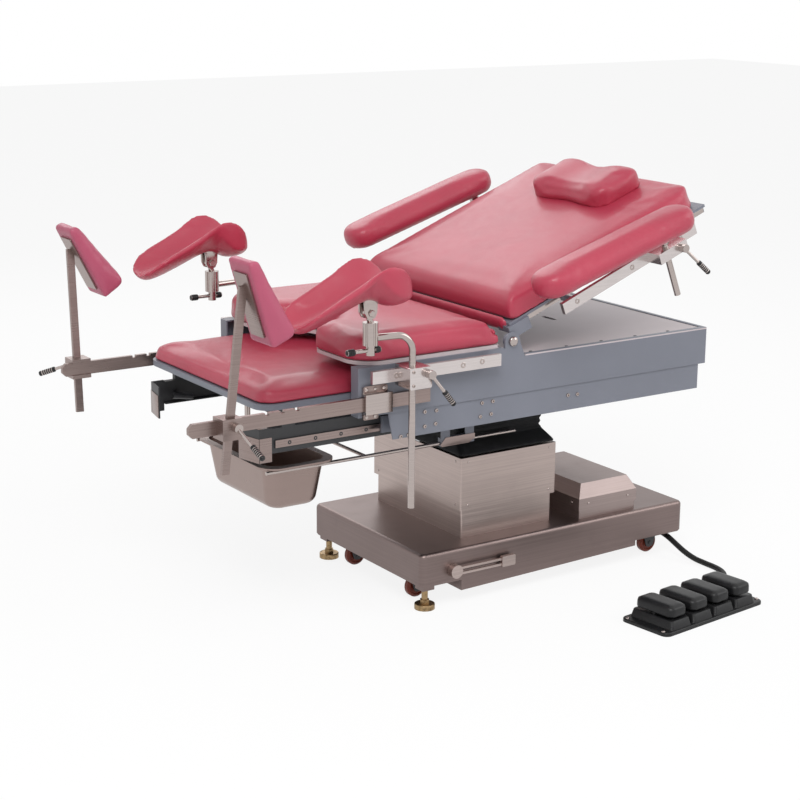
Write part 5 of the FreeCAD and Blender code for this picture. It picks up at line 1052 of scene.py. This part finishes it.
def fastener_tree(head, material):
    """Node tree that sets a head on each point, turned by a fixed seed, and makes it plain mesh."""
    tree = bpy.data.node_groups.new("fasteners", "GeometryNodeTree")
    tree.interface.new_socket("Geometry", in_out="INPUT", socket_type="NodeSocketGeometry")
    size = tree.interface.new_socket("Head size", in_out="INPUT", socket_type="NodeSocketFloat")
    size.default_value = 1.0
    facing = tree.interface.new_socket("Facing", in_out="INPUT", socket_type="NodeSocketVector")
    seed = tree.interface.new_socket("Seed", in_out="INPUT", socket_type="NodeSocketInt")
    seed.default_value = 7
    tree.interface.new_socket("Geometry", in_out="OUTPUT", socket_type="NodeSocketGeometry")
    nodes, links = tree.nodes, tree.links
    entry, leave = nodes.new("NodeGroupInput"), nodes.new("NodeGroupOutput")
    source = nodes.new("GeometryNodeObjectInfo")
    source.inputs["Object"].default_value = head
    align = nodes.new("FunctionNodeAlignRotationToVector")
    align.axis = "Z"
    links.new(entry.outputs["Facing"], align.inputs["Vector"])
    spread = nodes.new("GeometryNodeInstanceOnPoints")
    links.new(entry.outputs["Geometry"], spread.inputs["Points"])
    links.new(source.outputs["Geometry"], spread.inputs["Instance"])
    links.new(align.outputs["Rotation"], spread.inputs["Rotation"])
    links.new(entry.outputs["Head size"], spread.inputs["Scale"])
    chance = nodes.new("FunctionNodeRandomValue")
    chance.data_type = "FLOAT"
    chance.inputs[3].default_value = 6.283
    links.new(entry.outputs["Seed"], chance.inputs["Seed"])
    angle = nodes.new("ShaderNodeCombineXYZ")
    links.new(chance.outputs[1], angle.inputs["Z"])
    turn = nodes.new("GeometryNodeRotateInstances")
    links.new(spread.outputs["Instances"], turn.inputs["Instances"])
    links.new(angle.outputs["Vector"], turn.inputs["Rotation"])
    turn.inputs["Local Space"].default_value = True
    real = nodes.new("GeometryNodeRealizeInstances")
    links.new(turn.outputs["Instances"], real.inputs["Geometry"])
    paint = nodes.new("GeometryNodeSetMaterial")
    paint.inputs["Material"].default_value = material
    links.new(real.outputs["Geometry"], paint.inputs["Geometry"])
    links.new(paint.outputs["Geometry"], leave.inputs["Geometry"])
    return tree, {"size": size.identifier, "facing": facing.identifier, "seed": seed.identifier}


HEADS = {
    "socket": [(0, -0.6), (0.94, -0.6), (1.0, 0.0), (1.0, 0.25), (0.88, 0.48), (0.5, 0.55), (0.42, 0.1), (0, 0.08)],
    "dome": [(0, -0.4), (0.96, -0.4), (1.0, 0.0), (0.93, 0.26), (0.7, 0.46), (0.36, 0.56), (0, 0.6)],
    "sunk": [(0, -0.3), (1.0, -0.3), (1.0, 0.06), (0.9, 0.12), (0.42, 0.12), (0.36, -0.15), (0, -0.18)],
}


def fasten(name, body, style, radius, facing, spots, material="bright", slot="polished_steel"):
    """Sets heads of one style on points that face one way, as one piece on one body."""
    head_mesh = bmesh.new()
    lathe(head_mesh, Vector(), (0, 0, 1), [(r * 1000, h * 1000) for r, h in HEADS[style]], 18)
    head = mesh_object("head", head_mesh, 30)
    points = bpy.data.meshes.new(name)
    points.from_pydata(spots, [], [])
    piece = bpy.data.objects.new(name, points)
    bpy.context.scene.collection.objects.link(piece)
    tree, sockets = fastener_tree(head, MATERIALS[material])
    spread = piece.modifiers.new("spread", "NODES")
    spread.node_group = tree
    spread[sockets["size"]] = radius / 1000
    spread[sockets["facing"]] = Vector(facing).normalized()[:]
    spread[sockets["seed"]] = 7
    settle(piece)
    bpy.data.objects.remove(head)
    piece.name = name
    return fit(piece, body, material, slot)


class BED_OT_screws(bpy.types.Operator):
    """Screws and bolts of the frame, rails, base, column and slides"""

    bl_idname = "bed.screws"
    bl_label = "Screws"

    def execute(self, context):
        radius = context.scene.bed_sizes.screw_radius * 1000
        frame_sides = [(-305, 469), (-276, 468), (-305, 438), (-278, 440), (-160, 468), (-132, 468), (-164, 439),
                       (-136, 441), (70, 454), (96, 453), (-364, 425), (-345, 426)]
        for name, side in SIDES.items():
            away = (0, side, 0)
            spots = [spot(x, side * (289.5 if z > 478 else 286.5), z) for x, z in frame_sides]
            fasten("frame_bolts_" + name, "table", "socket", 4.4, away, spots)
            fasten("hinge_bolts_" + name, "table", "dome", 11.0, away, [spot(-85, side * 292.0, 592)])
            rail = [spot(x, side * 318.0, z) for x, z in ((-396, 563), (-232, 564), (-184, 566))]
            fasten("rail_screws_" + name, "table", "sunk", 6.2, away, rail)
            clamp = [spot(x, side * 360.0, z) for x, z in ((-382, 548), (-382, 576))]
            fasten("clamp_screws_" + name, "table", "socket", 3.6, away, clamp)
            back = [back_spot(along, side * 318.0, 15.5) for along in (165, 325, 470)]
            fasten("back_rail_screws_" + name, "backrest", "sunk", 6.2, away, back)
            fasten("skirt_screws_" + name, "lift", "dome", 2.6, away,
                   [spot(x, side * 175.1, z) for x in (-112, 112) for z in (206, 304)])
            strip = [spot(x, side * 244.0, 438) for x in (-600, -540, -480, -420, -360, -300)]
            fasten("slide_screws_" + name, "leg_section", "sunk", 4.2, away, strip, "dark_steel", "dark_steel")
            flanges = [(-452, 536), (-432, 536), (-411, 536), (-452, 480), (-432, 480)]
            fasten("bracket_screws_" + name, "table", "dome", 4.6, away, [spot(x, side * 296.4, z) for x, z in flanges])
        for name, side in SIDES.items():
            deck = [spot(x, side * 273, 560.2) for x in (-24, 73, 170, 267, 363)]
            fasten("deck_screws_" + name, "table", "sunk", radius, (0, 0, 1), deck, "dark_steel", "dark_steel")
        fasten("skirt_end_screws", "lift", "dome", 2.6, (-1, 0, 0),
               [spot(-131.4, y, z) for y in (-155, 155) for z in (206, 304)])
        fasten("box_screws", "base", "dome", 2.8, (0, -1, 0), [spot(x, -207, 165) for x in (205, 321)])
        fasten("box_end_screws", "base", "dome", 2.8, (-1, 0, 0), [spot(178, y, 165) for y in (-180, 33)])
        ends = [switch_spot(-160 + 7, y, 8.0) for y in (-50, 50)] + [switch_spot(160 - 7, y, 8.0) for y in (-50, 50)]
        fasten("switch_screws", "base", "dome", 4.6, (0, 0, 1), ends)
        return {"FINISHED"}


def grip(bm, start, end, radius):
    """A ribbed plastic sleeve with a rounded end."""
    length = (end - start).length * 1000
    profile = [(0, 0), (radius - 1.2, 0), (radius - 0.2, 1.0)]
    at = 4.0
    while at < length - 8:
        profile.extend([(radius, at), (radius, at + 2.2), (radius - 0.6, at + 2.8), (radius - 0.6, at + 3.6)])
        at += 4.4
    profile.extend([(radius, length - 5), (radius * 0.93, length - 2.2), (radius * 0.7, length - 0.6), (0, length)])
    return lathe(bm, start, end - start, profile, 28)


class BED_OT_grips(bpy.types.Operator):
    """Black grips of the clamp levers and caps of the T-handles"""

    bl_idname = "bed.grips"
    bl_label = "Lever grips"

    def execute(self, context):
        arms = {"near": Vector((12.0, -70.0, -42.0)), "far": Vector((-62.0, 40.0, -24.0))}
        post_x = {"near": -771.0, "far": -807.0}
        for name, side in SIDES.items():
            plans = []
            pivot = Vector((post_x[name] + 6, side * 334.3, 511.0))
            plans.append(("post_lever_" + name, pivot, pivot + arms[name]))
            pivot = Vector((-346.0, side * 367.3, 569.0))
            plans.append(("crutch_lever_" + name, pivot, pivot + Vector((47, side * 10, -62))))
            for body, start, tip in plans:
                along = (tip - start).normalized()
                bm = bmesh.new()
                grip(bm, spot(*(tip - along * 31)), spot(*(tip + along * 6.5)), 5.9)
                fit(mesh_object("grip_" + body, bm), body, "plastic", "black_plastic")
            start = back_spot(435.0, side * 367.3, 15.0)
            tip = back_spot(468.0, side * 382.3, -55.0)
            along = (tip - start).normalized()
            bm = bmesh.new()
            grip(bm, tip - along * 0.031, tip + along * 0.0065, 5.9)
            fit(mesh_object("grip_armrest_lever_" + name, bm), "armrest_lever_" + name, "plastic", "black_plastic")
            bm = bmesh.new()
            y, z = side * 331.0, 625.7
            grip(bm, spot(-503, y, z), spot(-521, y, z), 7.0)
            grip(bm, spot(-456, y, z), spot(-443, y, z), 7.0)
            fit(mesh_object("t_caps_" + name, bm), "t_handle_" + name, "plastic", "black_plastic")
        return {"FINISHED"}


class BED_OT_stage(bpy.types.Operator):
    """Pale floor, soft studio light and the camera at the photograph's angle"""

    bl_idname = "bed.stage"
    bl_label = "Stage"

    def execute(self, context):
        scene = context.scene
        scene.view_settings.view_transform = "Standard"
        floor_mesh = bmesh.new()
        reach = 14.0
        corners = [floor_mesh.verts.new((x, y, -0.0005)) for x, y in ((-reach, -reach), (reach, -reach), (reach, reach),
                                                                      (-reach, reach))]
        floor_mesh.faces.new(corners)
        floor = mesh_object("studio_floor", floor_mesh, 0)
        r = Recipe("studio_floor")
        matt = r.add("ShaderNodeBsdfDiffuse", None, {"Color": (0.94, 0.94, 0.94, 1.0), "Roughness": 0.5})
        lit = r.add("ShaderNodeEmission", None, {"Color": (1.0, 1.0, 1.0, 1.0), "Strength": 1.0})
        mixed = r.add("ShaderNodeMixShader", None, {0: r.seen_rays() * 0.86, 1: matt, 2: lit})
        r.add("ShaderNodeOutputMaterial", None, {"Surface": mixed})
        floor.data.materials.append(r.material)
        world = bpy.data.worlds.new("studio")
        scene.world = world
        world.use_nodes = True
        sky = Recipe("studio", world.node_tree)
        strength = sky.add("ShaderNodeMapRange", None, {"Value": sky.seen_rays(), "To Min": 0.52, "To Max": 1.0})
        ground = sky.add("ShaderNodeBackground", None, {"Color": (1.0, 1.0, 1.0, 1.0), "Strength": strength})
        sky.add("ShaderNodeOutputWorld", None, {"Surface": ground})
        for name, place, power, size in (("key", (-1.6, -2.4, 3.4), 84.0, 2.0), ("fill", (2.6, -1.8, 2.2), 26.0, 2.0),
                                         ("back", (0.8, 2.8, 2.6), 24.0, 2.2)):
            lamp = bpy.data.lights.new("studio_" + name, "AREA")
            lamp.energy = power
            lamp.size = size
            lamp_object = bpy.data.objects.new("studio_" + name, lamp)
            scene.collection.objects.link(lamp_object)
            lamp_object.location = place
            aim = Vector((0, 0, 0.45)) - Vector(place)
            lamp_object.rotation_euler = aim.to_track_quat("-Z", "Y").to_euler()
        azimuth, elevation, roll = (math.radians(a) for a in (-33.63, 14.27, 0.39))
        back = Vector((math.sin(azimuth) * math.cos(elevation), -math.cos(azimuth) * math.cos(elevation),
                       math.sin(elevation)))
        right = (-back).cross(Vector((0, 0, 1))).normalized()
        up = right.cross(-back)
        tilted_right = right * math.cos(roll) + up * math.sin(roll)
        tilted_up = up * math.cos(roll) - right * math.sin(roll)
        camera = bpy.data.cameras.new("photo_camera")
        camera.lens = 80.95
        camera.sensor_width = 36.0
        camera.clip_end = 60.0
        camera_object = bpy.data.objects.new("photo_camera", camera)
        scene.collection.objects.link(camera_object)
        turned = Matrix((tilted_right, tilted_up, back)).transposed().to_4x4()
        camera_object.matrix_world = Matrix.Translation(spot(-2322.73, -3228.51, 1400.71)) @ turned
        scene.camera = camera_object
        return {"FINISHED"}


class BED_PT_panel(bpy.types.Panel):
    """Lists the bed's operators, sizes and colours"""

    bl_label = "Examination bed"
    bl_idname = "BED_PT_panel"
    bl_space_type = "VIEW_3D"
    bl_region_type = "UI"
    bl_category = "Bed"

    def draw(self, context):
        for operator in OPERATORS:
            self.layout.operator(operator.bl_idname)
        for group in (context.scene.bed_sizes, context.scene.bed_colours):
            for name in group.bl_rna.properties.keys():
                if name not in {"rna_type", "name"}:
                    self.layout.prop(group, name)


OPERATORS = (BED_OT_stage, BED_OT_finishes, BED_OT_cable, BED_OT_seat, BED_OT_leg, BED_OT_back, BED_OT_pillow,
             BED_OT_armrests, BED_OT_foot_pads, BED_OT_saddles, BED_OT_bellows, BED_OT_plates, BED_OT_pedals,
             BED_OT_screws, BED_OT_grips)
CLASSES = (BedSizes, BedColours) + OPERATORS + (BED_PT_panel,)


def register():
    for item in CLASSES:
        bpy.utils.register_class(item)
    bpy.types.Scene.bed_sizes = PointerProperty(type=BedSizes)
    bpy.types.Scene.bed_colours = PointerProperty(type=BedColours)


def unregister():
    del bpy.types.Scene.bed_colours
    del bpy.types.Scene.bed_sizes
    for item in reversed(CLASSES):
        bpy.utils.unregister_class(item)


def main():
    register()
    for operator in OPERATORS:
        group, name = operator.bl_idname.split(".")
        result = getattr(getattr(bpy.ops, group), name)()
        if result != {"FINISHED"}:
            raise RuntimeError("The operator " + operator.bl_idname + " did not finish")


if __name__ == "__main__":
    main()
